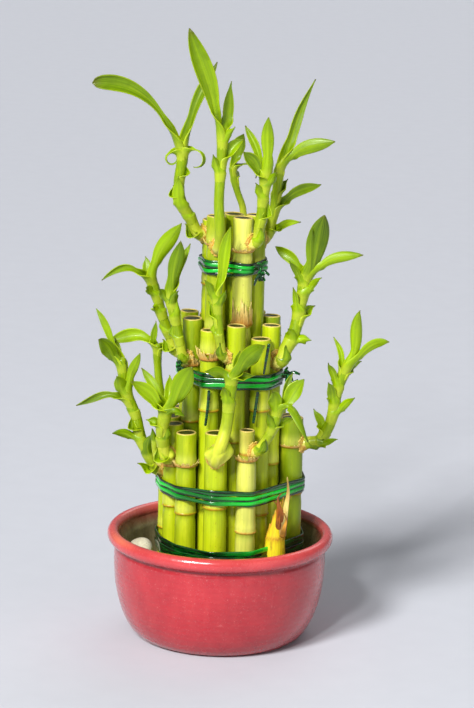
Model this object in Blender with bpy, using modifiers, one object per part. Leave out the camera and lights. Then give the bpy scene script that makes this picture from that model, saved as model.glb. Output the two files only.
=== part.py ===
"""Lucky bamboo in a round glazed bowl: three tiers of cut stalks, tied with ribbon, with leafy side shoots.

The origin is the middle of the bowl's foot, on the surface it stands on. +Z is up, -Y is the front, and
lengths in the tables are millimetres. Angles are degrees: a heading of 0 is +X, 90 is the back, -90 the front.
"""

from math import cos, pi, radians, sin

import bmesh
import bpy
import numpy as np
from mathutils import Vector

MM = 0.001
GAP = 0.3 * MM  # between pieces that rest on each other

# Bowl
FOOT_RADIUS = 41 * MM
BELLY_RADIUS = 56.2 * MM
BELLY_HEIGHT = 40 * MM
FLOOR_HEIGHT = 8 * MM
FLOOR_RADIUS = 43.5 * MM
INNER_RADIUS = 52 * MM
INNER_HEIGHT = 35 * MM
LIP_RADIUS = 56.9 * MM
LIP_HEIGHT = 54.3 * MM
LIP_HALF = (3.1 * MM, 3.7 * MM)
BOWL_STEPS = 40

# Stalks: (x, y) of the axis at the foot, radius, top height, height of the uppermost node ring
STALKS = {
    "outer_stalk_1": (-26.4, 1, 6.1, 119, 92),
    "outer_stalk_2": (-26, -13, 5.8, 118, 74),
    "outer_stalk_3": (-17, -26, 5.9, 116, 96),
    "outer_stalk_4": (-3.3, -32, 6.6, 118.5, 74),
    "outer_stalk_5": (12.4, -32, 5.5, 120.5, 66),
    "torn_stub": (28.4, -24, 4.6, 80.4, 40),
    "outer_stalk_6": (37, -4, 6.4, 120.5, 104),
    "outer_stalk_7": (35, 9, 5.7, 118, 80),
    "outer_stalk_8": (27, 22, 5.7, 119, 70),
    "outer_stalk_9": (15, 30, 5.7, 117, 88),
    "outer_stalk_10": (2, 32, 5.7, 120, 76),
    "outer_stalk_11": (-11, 27, 5.7, 118, 90),
    "outer_stalk_12": (-21, 17, 5.7, 119, 84),
    "middle_stalk_1": (-16, -7, 5.6, 173, 122),
    "middle_stalk_2": (-8.2, -18.4, 5.5, 170, 127),
    "middle_stalk_3": (6, -20.5, 5.6, 173.5, 150),
    "middle_stalk_4": (20.5, -17, 5.6, 166, 72),
    "middle_stalk_5": (25.5, -6, 5.5, 171, 98),
    "middle_stalk_6": (26, 8, 5.5, 173, 120),
    "middle_stalk_7": (17, 18, 5.5, 172, 132),
    "middle_stalk_8": (4, 21, 5.5, 174, 118),
    "middle_stalk_9": (-8, 17.5, 5.5, 171, 126),
    "middle_stalk_10": (-17, 8, 5.5, 174, 140),
    "inner_stalk_1": (-9, 1, 5.5, 224, 190),
    "inner_stalk_2": (-6, -10, 5.6, 228, 214),
    "inner_stalk_3": (3.5, -2, 5.3, 228, 205),
    "inner_stalk_4": (11.5, -10, 5.6, 228, 211),
    "inner_stalk_5": (13.5, 1.5, 5.4, 228, 201),
    "inner_stalk_6": (3, 9.5, 5.3, 226, 184),
    "inner_stalk_7": (20, 8, 5.2, 210, 178),
}
BUNDLE_CENTRE = (5.3 * MM, 0)
BUNDLE_RADIUS = 38.5 * MM
BUNDLE_LEAN = (-2 * MM, 0)  # how far the whole bundle has shifted at LEAN_HEIGHT
LEAN_HEIGHT = 230 * MM
NODE_BULGE = 0.4 * MM
STALK_STEPS = 10
SETTLING_ROUNDS = 500

# Ribbons: bottom and top height, and the tier that each is wound round
TIES = {
    "base_band": (47, 57, "outer"),
    "lower_tie": (81, 88, "outer"),
    "middle_tie": (140, 148, "middle"),
    "top_tie": (198, 205, "inner"),
}
RIBBON_THICK = 0.9 * MM
TIE_POINTS = 45

# Knots and hanging ribbon ends: points along each, and its radius
CORDS = {
    "middle_knot": (((31.3, -15, 147), (33.4, -13.6, 143.5), (35.5, -14.5, 140)), 1.9),
    "top_knot": (((15.4, -15, 204), (17.6, -13.8, 200.5), (18.2, -15, 195.5)), 1.6),
    "ribbon_tail_1": (((-7.5, -25.6, 139.6), (-8, -26.3, 130), (-9, -27, 120.5)), 0.8),
    "ribbon_tail_2": (((17.8, -25.4, 139.6), (16.8, -26, 131), (15.8, -26.8, 122.5)), 0.8),
    "ribbon_tail_3": (((22.8, -24.6, 165), (21.6, -25.2, 157), (20.5, -25.2, 148.4)), 0.8),
}

# Pebbles: centre and half sizes
PEBBLES = {
    "pebble_bottom": ((-40.6, 5, 15.6), (5.5, 8.5, 6.9)),
    "pebble_middle": ((-41.5, 4, 29.6), (6.5, 8.5, 6.5)),
    "pebble_top": ((-42.2, 2, 43.2), (7.1, 8.5, 6.5)),
}

# Shoots: the stalk that each grows from, points up the stem, radius at its foot and tip, and its leaves. A leaf is its place on the stem
# (0 foot, 1 tip), heading, rise, length, width, how far it arches, and the heading that its broad face looks to.
SHOOTS = {
    "crown_shoot_left": (
        "inner_stalk_1",
        ((-15.4, 0, 216), (-20, -3, 226), (-24.5, -6, 234), (-26, -6, 245), (-24.5, -5, 258), (-25, -5, 266)),
        3.4, 2.8,
        (
            (0.92, -165, 36, 58, 7.5, 0.16, -80),
            (0.95, 25, 66, 44, 6.5, 0.10, -110),
            (0.88, -142, -5, 15, 6.5, 0.35, -60),
            (0.97, -48, -25, 15, 4, 0.45, -100),
            (0.48, -135, 68, 12, 3.6, 0, -90),
        ),
    ),
    "crown_shoot_front": (
        "inner_stalk_2",
        ((-3.6, -19.5, 212), (-4, -20.5, 222), (-5, -19.5, 236), (-4.5, -16.5, 255), (-4, -15, 272)),
        3.2, 2.7,
        (
            (0.95, -155, 71, 58, 10.5, 0.05, -80),
            (1.0, 53, 75, 25, 6.5, 0, -90),
            (0.78, 19, 44, 17, 6.5, 0.10, -110),
            (0.69, -125, 58, 13, 3, 0, -90),
            (0.93, -36, 49, 12, 3.4, 0, -60),
        ),
    ),
    "crown_shoot_back": (
        "inner_stalk_6",
        ((7.5, 10.8, 221), (8.8, 10.8, 227), (5.5, 11.5, 238), (2, 12.5, 250)),
        1.8, 1.5,
        (
            (0.94, 10, 28, 9, 3.6, 0.20, -90),
            (0.80, 75, 10, 9, 3.6, 0.20, -60),
        ),
    ),
    "crown_shoot_right": (
        "inner_stalk_4",
        ((14.3, -14.5, 215), (16, -15, 224), (17.5, -14, 237), (19, -13, 253)),
        3.0, 2.8,
        (
            (0.97, -86, 82, 30, 6.5, -0.04, -90),
            (0.92, 141, 60, 29, 4.6, 0.05, -90),
            (0.85, -157, 53, 21, 7, 0.12, -70),
            (0.66, -124, 52, 12, 3.4, 0, -90),
            (0.80, -50, 45, 13, 3.4, 0.15, -90),
        ),
    ),
    "crown_shoot_far_right": (
        "inner_stalk_5",
        ((18.4, 3, 214), (22.5, 5, 223), (24.5, 7, 238), (26, 8, 253)),
        3.0, 2.6,
        (
            (0.97, 20, 68, 49, 5, 0.12, -70),
            (0.95, -12, 29, 33, 7, 0.10, -80),
            (0.90, 77, 38, 13, 3.4, 0.1, -90),
            (0.64, 50, 38, 12, 3, 0, -90),
            (0.45, 26, 25, 30, 5.4, 0.10, -60),
            (0.20, -20, 22, 19, 4, 0.10, -90),
        ),
    ),
    "shoulder_shoot": (
        "middle_stalk_5",
        ((29, -13, 153), (31.5, -13.5, 159), (35, -12, 166), (37.5, -10, 175), (39, -8.5, 185), (41, -7, 197)),
        3.9, 3.2,
        (
            (0.97, -36, 73, 37, 11, 0.02, -80),
            (0.97, -15, 27, 34, 5.4, 0.14, -70),
            (0.97, 148, 39, 24, 6, 0.12, -100),
            (0.91, -137, 52, 18, 3.4, 0, -90),
            (0.80, -44, 42, 18, 3.4, 0.10, -90),
            (0.62, -120, 65, 17, 3, 0, -90),
            (0.57, 41, 25, 13, 3, 0.10, -90),
            (0.34, -105, 50, 10, 3, 0, -90),
            (0.33, -23, 9, 12, 3, 0.15, -90),
        ),
    ),
    "low_shoot_right": (
        "outer_stalk_6",
        ((46.5, -5, 106), (51, -6, 109), (55.5, -6, 116), (58, -6, 127), (60, -6, 138), (64, -6, 150)),
        3.4, 2.8,
        (
            (0.97, -34, 77, 33, 6.5, 0.03, -90),
            (0.96, -26, 36, 30, 5, 0.28, -60),
            (0.92, 126, 61, 20, 3.2, 0.05, -90),
            (0.77, -127, 57, 18, 4, 0, -90),
            (0.90, 49, 18, 16, 3.2, 0.10, -90),
            (0.60, -114, 57, 17, 5, 0, -80),
            (0.50, -35, 41, 18, 4, 0.05, -90),
            (0.30, 136, 56, 15, 4, 0.05, -90),
            (0.20, -39, 15, 14, 3, 0.05, -90),
        ),
    ),
    "front_shoot_right": (
        "outer_stalk_5",
        ((19.3, -37.5, 110), (22.5, -39.5, 117), (26, -41, 125), (28, -40, 133)),
        3.0, 2.6,
        (
            (0.96, -113, 62, 15, 7.5, 0.12, -80),
            (0.98, 9, 52, 22, 8, 0, -90),
            (0.95, 46, 61, 23, 3.4, 0, -90),
            (0.98, -41, -29, 24, 5, 0.55, -60),
            (0.70, 35, 13, 15, 3, 0.05, -90),
            (0.70, -114, 54, 12, 3, 0, -90),
        ),
    ),
    "front_shoot_centre": (
        "outer_stalk_4",
        ((-3, -43.5, 99), (-1, -42.5, 110), (1.5, -40.5, 122), (3, -38.5, 135), (4, -37, 149)),
        4.0, 3.0,
        (
            (0.96, -152, 25, 16, 5, 0.10, -90),
            (0.98, 14, 75, 16, 6, 0, -90),
            (0.98, -33, 47, 29, 9, 0.10, -90),
            (0.96, 10, 15, 13, 3, 0.05, -90),
            (0.73, -113, 52, 14, 5, 0, -90),
        ),
    ),
    "middle_shoot_front": (
        "middle_stalk_3",
        ((-1.3, -26.2, 157), (-2.3, -27.5, 165), (-3.8, -27.5, 178), (-5, -26, 190)),
        2.6, 2.4,
        (
            (0.98, 8, 80, 37, 6.5, 0, -90),
            (0.93, -134, 52, 15, 4, 0.05, -90),
            (0.84, -57, 52, 13, 3.4, 0, -90),
            (0.66, 145, 55, 11, 3.4, 0, -90),
        ),
    ),
    "left_shoot_outer": (
        "middle_stalk_10",
        ((-24.4, 6.5, 152), (-29, 5, 160), (-34, 3, 174), (-37, 1, 185), (-40, -1, 193)),
        3.2, 2.8,
        (
            (0.97, -158, 2, 22, 6, 0.22, -60),
            (0.97, -25, 62, 36, 8, 0.04, -80),
            (0.95, 121, 58, 14, 4.4, 0.05, -90),
            (0.78, -120, 28, 12, 4.4, 0.15, -90),
            (0.59, -120, 25, 9, 3, 0.10, -90),
        ),
    ),
    "left_shoot_inner": (
        "middle_stalk_1",
        ((-21.6, -11.8, 152), (-24, -13, 164), (-27, -13.5, 177), (-29.5, -13, 187)),
        3.0, 2.8,
        (
            (0.98, -45, 76, 31, 8, 0.02, -90),
            (0.95, 30, 68, 30, 4.4, 0.03, -90),
            (0.86, -68, 46, 13, 3.4, 0.05, -90),
            (0.90, -140, 43, 11, 4.4, 0.10, -90),
        ),
    ),
    "far_left_shoot": (
        "outer_stalk_1",
        ((-35.6, -4, 90), (-38.5, -6, 98), (-42, -6, 105), (-46, -6, 120), (-51, -6, 132), (-54, -6, 150)),
        3.3, 2.8,
        (
            (0.97, -141, 37, 16, 7, 0.20, -80),
            (0.96, 157, 61, 32, 5, 0.20, -90),
            (0.94, 115, 50, 17, 3.4, 0.05, -90),
            (0.73, -50, 66, 26, 5, 0, -90),
            (0.72, -124, 51, 15, 6.5, 0.05, -90),
            (0.66, 172, -12, 29, 5.4, 0.28, -60),
            (0.34, -153, 18, 18, 5, 0.10, -90),
            (0.22, -80, 58, 15, 5, 0, -90),
            (0.10, -140, 18, 12, 3.4, 0.05, -90),
        ),
    ),
    "left_front_shoot": (
        "outer_stalk_2",
        ((-28.8, -19, 101), (-31, -23, 110), (-31, -25.5, 120), (-29.5, -27, 129)),
        3.8, 3.2,
        (
            (0.96, -27, 60, 30, 10.5, 0.04, -90),
            (0.96, 152, 55, 26, 4.4, 0.02, -90),
            (0.90, -158, 46, 27, 7.5, 0.06, -80),
            (0.98, 84, 53, 20, 5, 0.05, -90),
            (0.93, -46, 6, 15, 4.4, 0.10, -60),
            (0.68, 160, 21, 10, 3.4, 0.05, -90),
        ),
    ),
    "left_back_shoot": (
        "outer_stalk_12",
        ((-30.5, 15.6, 114), (-34, 16, 129), (-35.5, 16, 141), (-36, 15, 153)),
        2.6, 2.2,
        (
            (0.96, 180, 86, 15, 3.4, 0, -90),
            (0.92, 34, -14, 15, 4.4, 0.20, -60),
            (0.95, 164, -3, 21, 4.4, 0.25, -60),
        ),
    ),
    "left_bud": (
        "outer_stalk_2",
        ((-32.6, -13, 96), (-35, -14.5, 103), (-35, -16, 111)),
        2.2, 1.6,
        (
            (0.90, -120, 65, 8, 3, 0, -90),
        ),
    ),
}
STEM_SEGMENTS = 6
WELD_DISTANCE = 0.05 * MM  # joins the near points that a union leaves
LEAF_THICK = 1.0 * MM
LEAF_ROWS = 4
LEAF_FOLD = 0.25  # how far the leaf's edges rise, as a share of its half width
FACE_TILT = 0.35  # how far a leaf's broad face looks up, as a slope

# Colours: red, green, blue, then roughness
COLOURS = {
    "glaze": ((0.74, 0.09, 0.10), 0.18),
    "pebble": ((0.70, 0.66, 0.54), 0.55),
    "ribbon": ((0.05, 0.30, 0.06), 0.30),
    "outer": ((0.50, 0.52, 0.08), 0.42),
    "middle": ((0.42, 0.50, 0.08), 0.42),
    "inner": ((0.38, 0.47, 0.08), 0.42),
    "stub": ((0.78, 0.66, 0.30), 0.60),
    "shoot": ((0.22, 0.42, 0.04), 0.38),
}


def clear_scene():
    for old in list(bpy.data.objects):
        bpy.data.objects.remove(old)


def new_collection(name, shown=True):
    collection = bpy.data.collections.new(name)
    collection.hide_render = not shown
    bpy.context.scene.collection.children.link(collection)
    return collection


def new_material(name, colour, roughness):
    """A material of its own for the named part."""
    material = bpy.data.materials.new(name)
    material.use_nodes = True
    shader = material.node_tree.nodes["Principled BSDF"]
    shader.inputs["Base Color"].default_value = (*colour, 1)
    shader.inputs["Roughness"].default_value = roughness
    shader.inputs["Metallic"].default_value = 0
    return material


def new_object(name, mesh, collection, finish=None):
    part = bpy.data.objects.new(name, mesh)
    collection.objects.link(part)
    if finish:
        mesh.materials.clear()
        mesh.materials.append(new_material(name, *COLOURS[finish]))
    else:
        part.hide_render = True
        part.display_type = "WIRE"
    return part


def turned(name, profile, steps, collection, finish):
    """A solid turned about Z from a profile that runs from the top of the axis down the outer side."""
    mesh = bpy.data.meshes.new(name)
    points = [(radius, 0, height) for radius, height in profile]
    mesh.from_pydata(points, [(i, i + 1) for i in range(len(points) - 1)], [])
    part = new_object(name, mesh, collection, finish)
    screw = part.modifiers.new("turn", "SCREW")
    screw.steps = screw.render_steps = steps
    screw.use_merge_vertices = True
    screw.merge_threshold = 0.00001
    screw.use_smooth_shade = True
    return part


def wall_radius(height, low, high, base, full, power):
    """Radius of a bowl wall that swells from base at height low to full at height high, and stays there."""
    share = min(max((height - low) / (high - low), 0), 1)
    return base + (full - base) * (1 - (1 - share) ** 2) ** power


def make_bowl(collection):
    inside = [(0, FLOOR_HEIGHT)]
    for height in (8, 9, 12, 18, 26, 36, 47):
        height *= MM
        radius = wall_radius(height, FLOOR_HEIGHT, FLOOR_HEIGHT + INNER_HEIGHT, FLOOR_RADIUS, INNER_RADIUS, 0.55)
        inside.append((radius, height))
    lip = []
    for angle in range(200, -71, -30):
        turn = radians(angle)
        lip.append((LIP_RADIUS + LIP_HALF[0] * cos(turn), LIP_HEIGHT + LIP_HALF[1] * sin(turn)))
    outside = []
    for height in (47, 38, 28, 18, 10, 4, 1):
        height *= MM
        outside.append((wall_radius(height, 0, BELLY_HEIGHT, FOOT_RADIUS, BELLY_RADIUS, 0.57), height))
    foot = [(FOOT_RADIUS, 0), (0, 0)]
    return turned("bowl", inside + lip + outside + foot, BOWL_STEPS, collection, "glaze")


def settle(stalks):
    """Feet of the stalks, drawn together by the ribbon and pushed apart until each pair stands a gap apart."""
    feet = np.array([[x, y] for x, y, *_ in stalks.values()]) * MM
    radii = np.array([radius for _, _, radius, *_ in stalks.values()]) * MM
    room = radii[:, None] + radii[None, :] + NODE_BULGE + GAP
    np.fill_diagonal(room, 0)
    for turn in range(2 * SETTLING_ROUNDS):
        apart = feet[:, None] - feet[None, :]
        distance = np.linalg.norm(apart, axis=2) + np.eye(len(feet))
        push = np.clip(room - distance, 0, None) / distance
        feet += 0.25 * (apart * push[:, :, None]).sum(axis=1)
        if turn < SETTLING_ROUNDS:
            outward = feet - np.array(BUNDLE_CENTRE)
            reach = np.linalg.norm(outward, axis=1)
            over = np.clip(reach + radii - BUNDLE_RADIUS, 0, None) / reach
            feet -= 0.3 * outward * over[:, None]
    return feet


def stalk_profile(radius, height, node):
    """A cut stalk with a ring above a node, and a slight swelling at its foot and its cut top."""
    return [
        (0, height - 0.6 * MM),
        (0.8 * radius, height),
        (radius, height - 1.2 * MM),
        (0.96 * radius, node + 6 * MM),
        (radius + NODE_BULGE, node),
        (0.96 * radius, node - 4 * MM),
        (radius, 0),
        (0, 0),
    ]


def make_stalks(collection):
    """The stalks, all on the bowl's floor. Returns each one's foot and radius, by name."""
    standing = {}
    base = FLOOR_HEIGHT + GAP
    lean = Vector((BUNDLE_LEAN[0], BUNDLE_LEAN[1], LEAN_HEIGHT))
    for (name, row), foot in zip(STALKS.items(), settle(STALKS)):
        radius, top, node = (value * MM for value in row[2:])
        tier = "stub" if name == "torn_stub" else name.split("_")[0]
        part = turned(name, stalk_profile(radius, top - base, node - base), STALK_STEPS, collection, tier)
        part.location = (foot[0], foot[1], base + 0.1 * MM)
        part.rotation_mode = "QUATERNION"
        part.rotation_quaternion = lean.to_track_quat("Z", "Y")
        standing[name] = (np.array(foot), radius)
    return standing


def make_tie(name, bottom, top, tier, standing, collection):
    """A ribbon pulled tight round a tier: in each direction it touches the stalk that reaches furthest."""
    middle = (bottom + top) / 2 * MM
    shift = np.array(BUNDLE_LEAN) * middle / LEAN_HEIGHT
    held = [stalk for key, stalk in standing.items() if STALKS[key][3] > top]
    centres = np.array([foot for foot, _ in held]) + shift
    radii = np.array([radius for _, radius in held]) + 0.4 * MM + GAP
    bm = bmesh.new()
    rows = []
    for k in range(TIE_POINTS):
        angle = 2 * pi * k / TIE_POINTS
        way = np.array([cos(angle), sin(angle)])
        furthest = int(np.argmax(centres @ way + radii))
        x, y = centres[furthest] + radii[furthest] * way
        rows.append([bm.verts.new((x, y, height * MM)) for height in (bottom, top)])
    for near, far in zip(rows, rows[1:] + rows[:1]):
        bm.faces.new((near[0], far[0], far[1], near[1]))
    mesh = bpy.data.meshes.new(name)
    bm.to_mesh(mesh)
    bm.free()
    part = new_object(name, mesh, collection, "ribbon")
    wall = part.modifiers.new("wall", "SOLIDIFY")
    wall.thickness = RIBBON_THICK
    wall.offset = 1
    return part


def smooth_path(points, segments):
    """Points of a smooth curve that passes through the given ones, evenly spread along their chords."""
    points = np.array(points, float)
    steps = np.linalg.norm(np.diff(points, axis=0), axis=1)
    along = np.concatenate([[0], np.cumsum(steps)])
    slopes = np.gradient(points, along, axis=0)
    found = []
    for place in np.linspace(0, along[-1], segments + 1):
        k = min(int(np.searchsorted(along, place, side="right")) - 1, len(points) - 2)
        span = along[k + 1] - along[k]
        t = (place - along[k]) / span
        found.append(
            points[k] * (1 + 2 * t) * (1 - t) ** 2
            + slopes[k] * span * t * (1 - t) ** 2
            + points[k + 1] * t * t * (3 - 2 * t)
            - slopes[k + 1] * span * t * t * (1 - t)
        )
    return np.array(found)


def tube(name, path, radii, collection, finish):
    """A tapering tube along a path, made a mesh so that it can be joined to other shapes."""
    curve = bpy.data.curves.new(name, "CURVE")
    curve.dimensions = "3D"
    curve.bevel_depth = 1
    curve.bevel_resolution = 2
    curve.use_fill_caps = True
    spline = curve.splines.new("POLY")
    spline.points.add(len(path) - 1)
    for point, place, radius in zip(spline.points, path, radii):
        point.co = (*place, 1)
        point.radius = radius
    guide = bpy.data.objects.new(name + "_guide", curve)
    bpy.context.scene.collection.objects.link(guide)
    evaluated = guide.evaluated_get(bpy.context.evaluated_depsgraph_get())
    mesh = bpy.data.meshes.new_from_object(evaluated)
    bpy.data.objects.remove(guide)
    bm = bmesh.new()
    bm.from_mesh(mesh)
    bmesh.ops.remove_doubles(bm, verts=bm.verts, dist=0.01 * MM)
    bmesh.ops.recalc_face_normals(bm, faces=bm.faces)
    bm.to_mesh(mesh)
    bm.free()
    mesh.shade_smooth()
    return new_object(name, mesh, collection, finish)


def leaf_mesh(name, start, leaf):
    """A lance-shaped blade on an arched midrib, with its edges raised to a shallow fold."""
    _, heading, rise, length, width, arch, face = leaf
    heading, rise, face = radians(heading), radians(rise), radians(face)
    length *= MM
    way = np.array([cos(rise) * cos(heading), cos(rise) * sin(heading), sin(rise)])
    looks = np.array([cos(face), sin(face), FACE_TILT])
    looks /= np.linalg.norm(looks)
    bm = bmesh.new()
    bmesh.ops.create_grid(bm, x_segments=2, y_segments=LEAF_ROWS, size=1)
    for vert in bm.verts:
        side, t = vert.co.x, (vert.co.y + 1) / 2
        along = way + np.array([0, 0, 2 * arch * (1 - 2 * t)])
        across = np.cross(along, looks)
        across /= np.linalg.norm(across)
        raised = np.cross(across, along) / np.linalg.norm(along)
        half = 0.5 * width * MM * (0.92 * max(sin(pi * t**0.8), 0) ** 0.8 + 0.3 * (1 - t) + 0.08)
        spine = start + length * (t * way + np.array([0, 0, 2 * arch * t * (1 - t)]))
        vert.co = spine + half * (side * across + LEAF_FOLD * abs(side) * raised)
    mesh = bpy.data.meshes.new(name)
    bm.to_mesh(mesh)
    bm.free()
    return mesh


def seated(stem, host, foot_radius):
    """The stem's points with its foot moved to a gap from the host stalk, on the side where it grows."""
    (x, y), radius = host
    first, second = stem[0], stem[1]
    shift = np.array(BUNDLE_LEAN) * first[2] / LEAN_HEIGHT
    axis = np.array([x, y]) + shift
    out = first[:2] - axis
    out /= np.linalg.norm(out)
    for _ in range(4):
        way = second - first
        slant = np.sqrt(1 - (way[:2] @ out / np.linalg.norm(way)) ** 2)
        room = radius + GAP + foot_radius * slant
        first = np.array([*(axis + out * room), first[2]])
    return np.array([first, *stem[1:]])


def make_shoot(name, host, stem, foot, tip, leaves, collection, guides):
    """A shoot: a tapering stem joined with its leaves into one solid."""
    path = smooth_path(seated(np.array(stem) * MM, host, foot * MM), STEM_SEGMENTS)
    part = tube(name, path, np.linspace(foot, tip, len(path)) * MM, collection, "shoot")
    own_leaves = bpy.data.collections.new(name + "_leaves")
    own_leaves.hide_render = True
    guides.children.link(own_leaves)
    for number, leaf in enumerate(leaves, 1):
        place = leaf[0] * STEM_SEGMENTS
        start = np.array([np.interp(place, range(STEM_SEGMENTS + 1), path[:, axis]) for axis in range(3)])
        blade = new_object(f"{name}_leaf_{number}", leaf_mesh(name, start, leaf), own_leaves)
        blade_wall = blade.modifiers.new("wall", "SOLIDIFY")
        blade_wall.thickness = LEAF_THICK
        blade_wall.offset = 0
    join = part.modifiers.new("leaves", "BOOLEAN")
    join.operation = "UNION"
    join.operand_type = "COLLECTION"
    join.collection = own_leaves
    join.solver = "EXACT"
    weld = part.modifiers.new("slivers", "WELD")
    weld.merge_threshold = WELD_DISTANCE
    return part


def make_pebble(name, centre, halves, collection):
    """A water-worn pebble: an egg-like round form with its corners filled out a little."""
    bm = bmesh.new()
    bmesh.ops.create_uvsphere(bm, u_segments=12, v_segments=8, radius=1)
    for vert in bm.verts:
        lump = 1 + 0.02 * sin(3 * vert.co.x + 1) * cos(2 * vert.co.y)
        vert.co = [value * half * MM * lump for value, half in zip(vert.co, halves)]
    mesh = bpy.data.meshes.new(name)
    bm.to_mesh(mesh)
    bm.free()
    mesh.shade_smooth()
    part = new_object(name, mesh, collection, "pebble")
    part.location = [value * MM for value in centre]
    return part


clear_scene()
parts = new_collection("lucky_bamboo")
guides = new_collection("guides", shown=False)
make_bowl(parts)
standing = make_stalks(parts)
for name, (bottom, top, tier) in TIES.items():
    make_tie(name, bottom, top, tier, standing, parts)
for name, (points, radius) in CORDS.items():
    path = smooth_path(points, 5) * MM
    tube(name, path, [radius * MM] * len(path), parts, "ribbon")
for name, (centre, halves) in PEBBLES.items():
    make_pebble(name, centre, halves, parts)
for name, (host, stem, foot, tip, leaves) in SHOOTS.items():
    make_shoot(name, standing[host], stem, foot, tip, leaves, parts, guides)
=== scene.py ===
"""Lucky bamboo in a round glazed bowl: the finished look of each piece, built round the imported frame.

Lengths in the tables are millimetres, and MM turns them into metres. The bowl's foot is at the origin, +Z is
up and -Y is the front. A heading of 0 degrees is +X, 90 is the back and -90 the front.
"""

import bpy
import numpy as np
from mathutils import Matrix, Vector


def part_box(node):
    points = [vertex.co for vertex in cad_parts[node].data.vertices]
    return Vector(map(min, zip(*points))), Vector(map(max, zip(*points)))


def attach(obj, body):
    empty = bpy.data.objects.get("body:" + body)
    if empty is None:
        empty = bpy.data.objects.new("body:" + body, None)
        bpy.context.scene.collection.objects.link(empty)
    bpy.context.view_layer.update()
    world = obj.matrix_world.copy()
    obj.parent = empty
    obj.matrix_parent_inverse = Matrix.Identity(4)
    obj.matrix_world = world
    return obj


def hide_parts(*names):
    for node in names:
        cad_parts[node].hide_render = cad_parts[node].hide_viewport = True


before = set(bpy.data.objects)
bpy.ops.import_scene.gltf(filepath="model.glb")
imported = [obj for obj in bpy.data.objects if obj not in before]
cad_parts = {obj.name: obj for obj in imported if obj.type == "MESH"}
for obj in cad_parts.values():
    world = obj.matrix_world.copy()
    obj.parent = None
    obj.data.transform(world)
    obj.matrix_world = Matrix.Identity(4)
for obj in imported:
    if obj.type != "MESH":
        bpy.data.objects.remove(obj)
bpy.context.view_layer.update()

MM = 0.001


# --- The bowl -------------------------------------------------------------------------------------
# A thrown stoneware bowl, about 120 mm wide, with a rolled lip. It was dipped in a glossy red glaze that runs
# thin on the lip, and years of water have left a grey-green stain on the inside. Its colours also hold
# painted shade under the lip and towards the foot, and a painted highlight on the lip at the front left.

FOOT_RADIUS = 41
BELLY_RADIUS = 56.2
BELLY_HEIGHT = 40
WALL_TOP = 50
FLOOR_RADIUS = 43.5
FLOOR_HEIGHT = 8
INNER_RADIUS = 52
INNER_HEIGHT = 43
INNER_TOP = 48.5
LIP_RADIUS = 56.9
LIP_HEIGHT = 54.3
LIP_HALF_WIDTH = 3.1
LIP_HALF_HEIGHT = 3.7
LIP_STEPS_OUTSIDE = 26  # the lip's section has 40 steps, and the rest of them are inside the bowl
LIP_HIGHLIGHT_AT = 3.6  # the bearing of the spot on the lip painted paler orange as a highlight, in radians
GLAZE_RED = (184, 38, 48)
GLAZE_THIN_AND_HIGHLIGHT = (226, 120, 84)
GLAZE_PALE = (226, 80, 82)
GLAZE_DEEP_AND_SHADE = (134, 24, 34)
GLAZE_RUN = (226, 88, 84)
GLAZE_FLECK = (236, 160, 156)
STAIN = (158, 154, 112)
STAIN_DARK = (88, 86, 56)


def display(colour):
    """Linear light of a colour given as three display values from 0 to 255."""
    value = np.asarray(colour, float) / 255
    return np.where(value <= 0.04045, value / 12.92, ((value + 0.055) / 1.055) ** 2.4)


def painted(points, base, *coats):
    """A colour for each point of a grid: the base, then coats laid over it in turn. A coat is a colour, its
    share, from 0, which shows what is below, to 1, which hides it, and how far it is brightened, if at all.
    """
    colour = np.broadcast_to(display(base), points.shape)
    for over, share, *bright in coats:
        share = np.clip(share, 0, 1)[..., None]
        colour = colour * (1 - share) + display(over) * (bright or [1])[0] * share
    return colour


def eased(value, low, high):
    """0 below low, 1 above high, and a smooth S-curve between."""
    share = np.clip((value - low) / (high - low), 0, 1)
    return share * share * (3 - 2 * share)


def bell(value, middle, width):
    """1 at the middle, and e to the minus square of the distance from it in widths."""
    return np.exp(-(((value - middle) / width) ** 2))


def wave(angle):
    """A sine that swings between 0 and 1."""
    return 0.5 + 0.5 * np.sin(angle)


def full_turn(steps):
    """Even angles once round, without the last, which would be the first again."""
    return np.linspace(0, 2 * np.pi, steps, endpoint=False)


def spun(reach, turn, height):
    """Points at a distance from the Z axis, in the direction of an angle, at a height."""
    return np.stack(np.broadcast_arrays(reach * np.cos(turn), reach * np.sin(turn), height), axis=-1)


def patch(points, tint, grain=None, wrap=True, loop=False, poles=(True, True)):
    """Faces over a grid of points in millimetres. Each cell of the grid is one four-sided face. Wrap joins
    the last column to the first, and loop does so for rows. Without loop, a pole row is drawn into one point.
    """
    rows, columns = points.shape[:2]
    index = np.arange(rows * columns).reshape(rows, columns)
    index[0] = np.where(poles[0] and not loop, index[0, 0], index[0])
    index[-1] = np.where(poles[1] and not loop, index[-1, 0], index[-1])
    if wrap:
        index = np.concatenate([index, index[:, :1]], axis=1)
    if loop:
        index = np.concatenate([index, index[:1]], axis=0)
    cells = np.stack([index[:-1, :-1], index[:-1, 1:], index[1:, 1:], index[1:, :-1]], axis=-1)
    grain = np.zeros((rows * columns, 2)) if grain is None else grain.reshape(-1, 2)
    return points.reshape(-1, 3) * MM, cells.reshape(-1, 4), tint.reshape(-1, 3), grain


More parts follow.
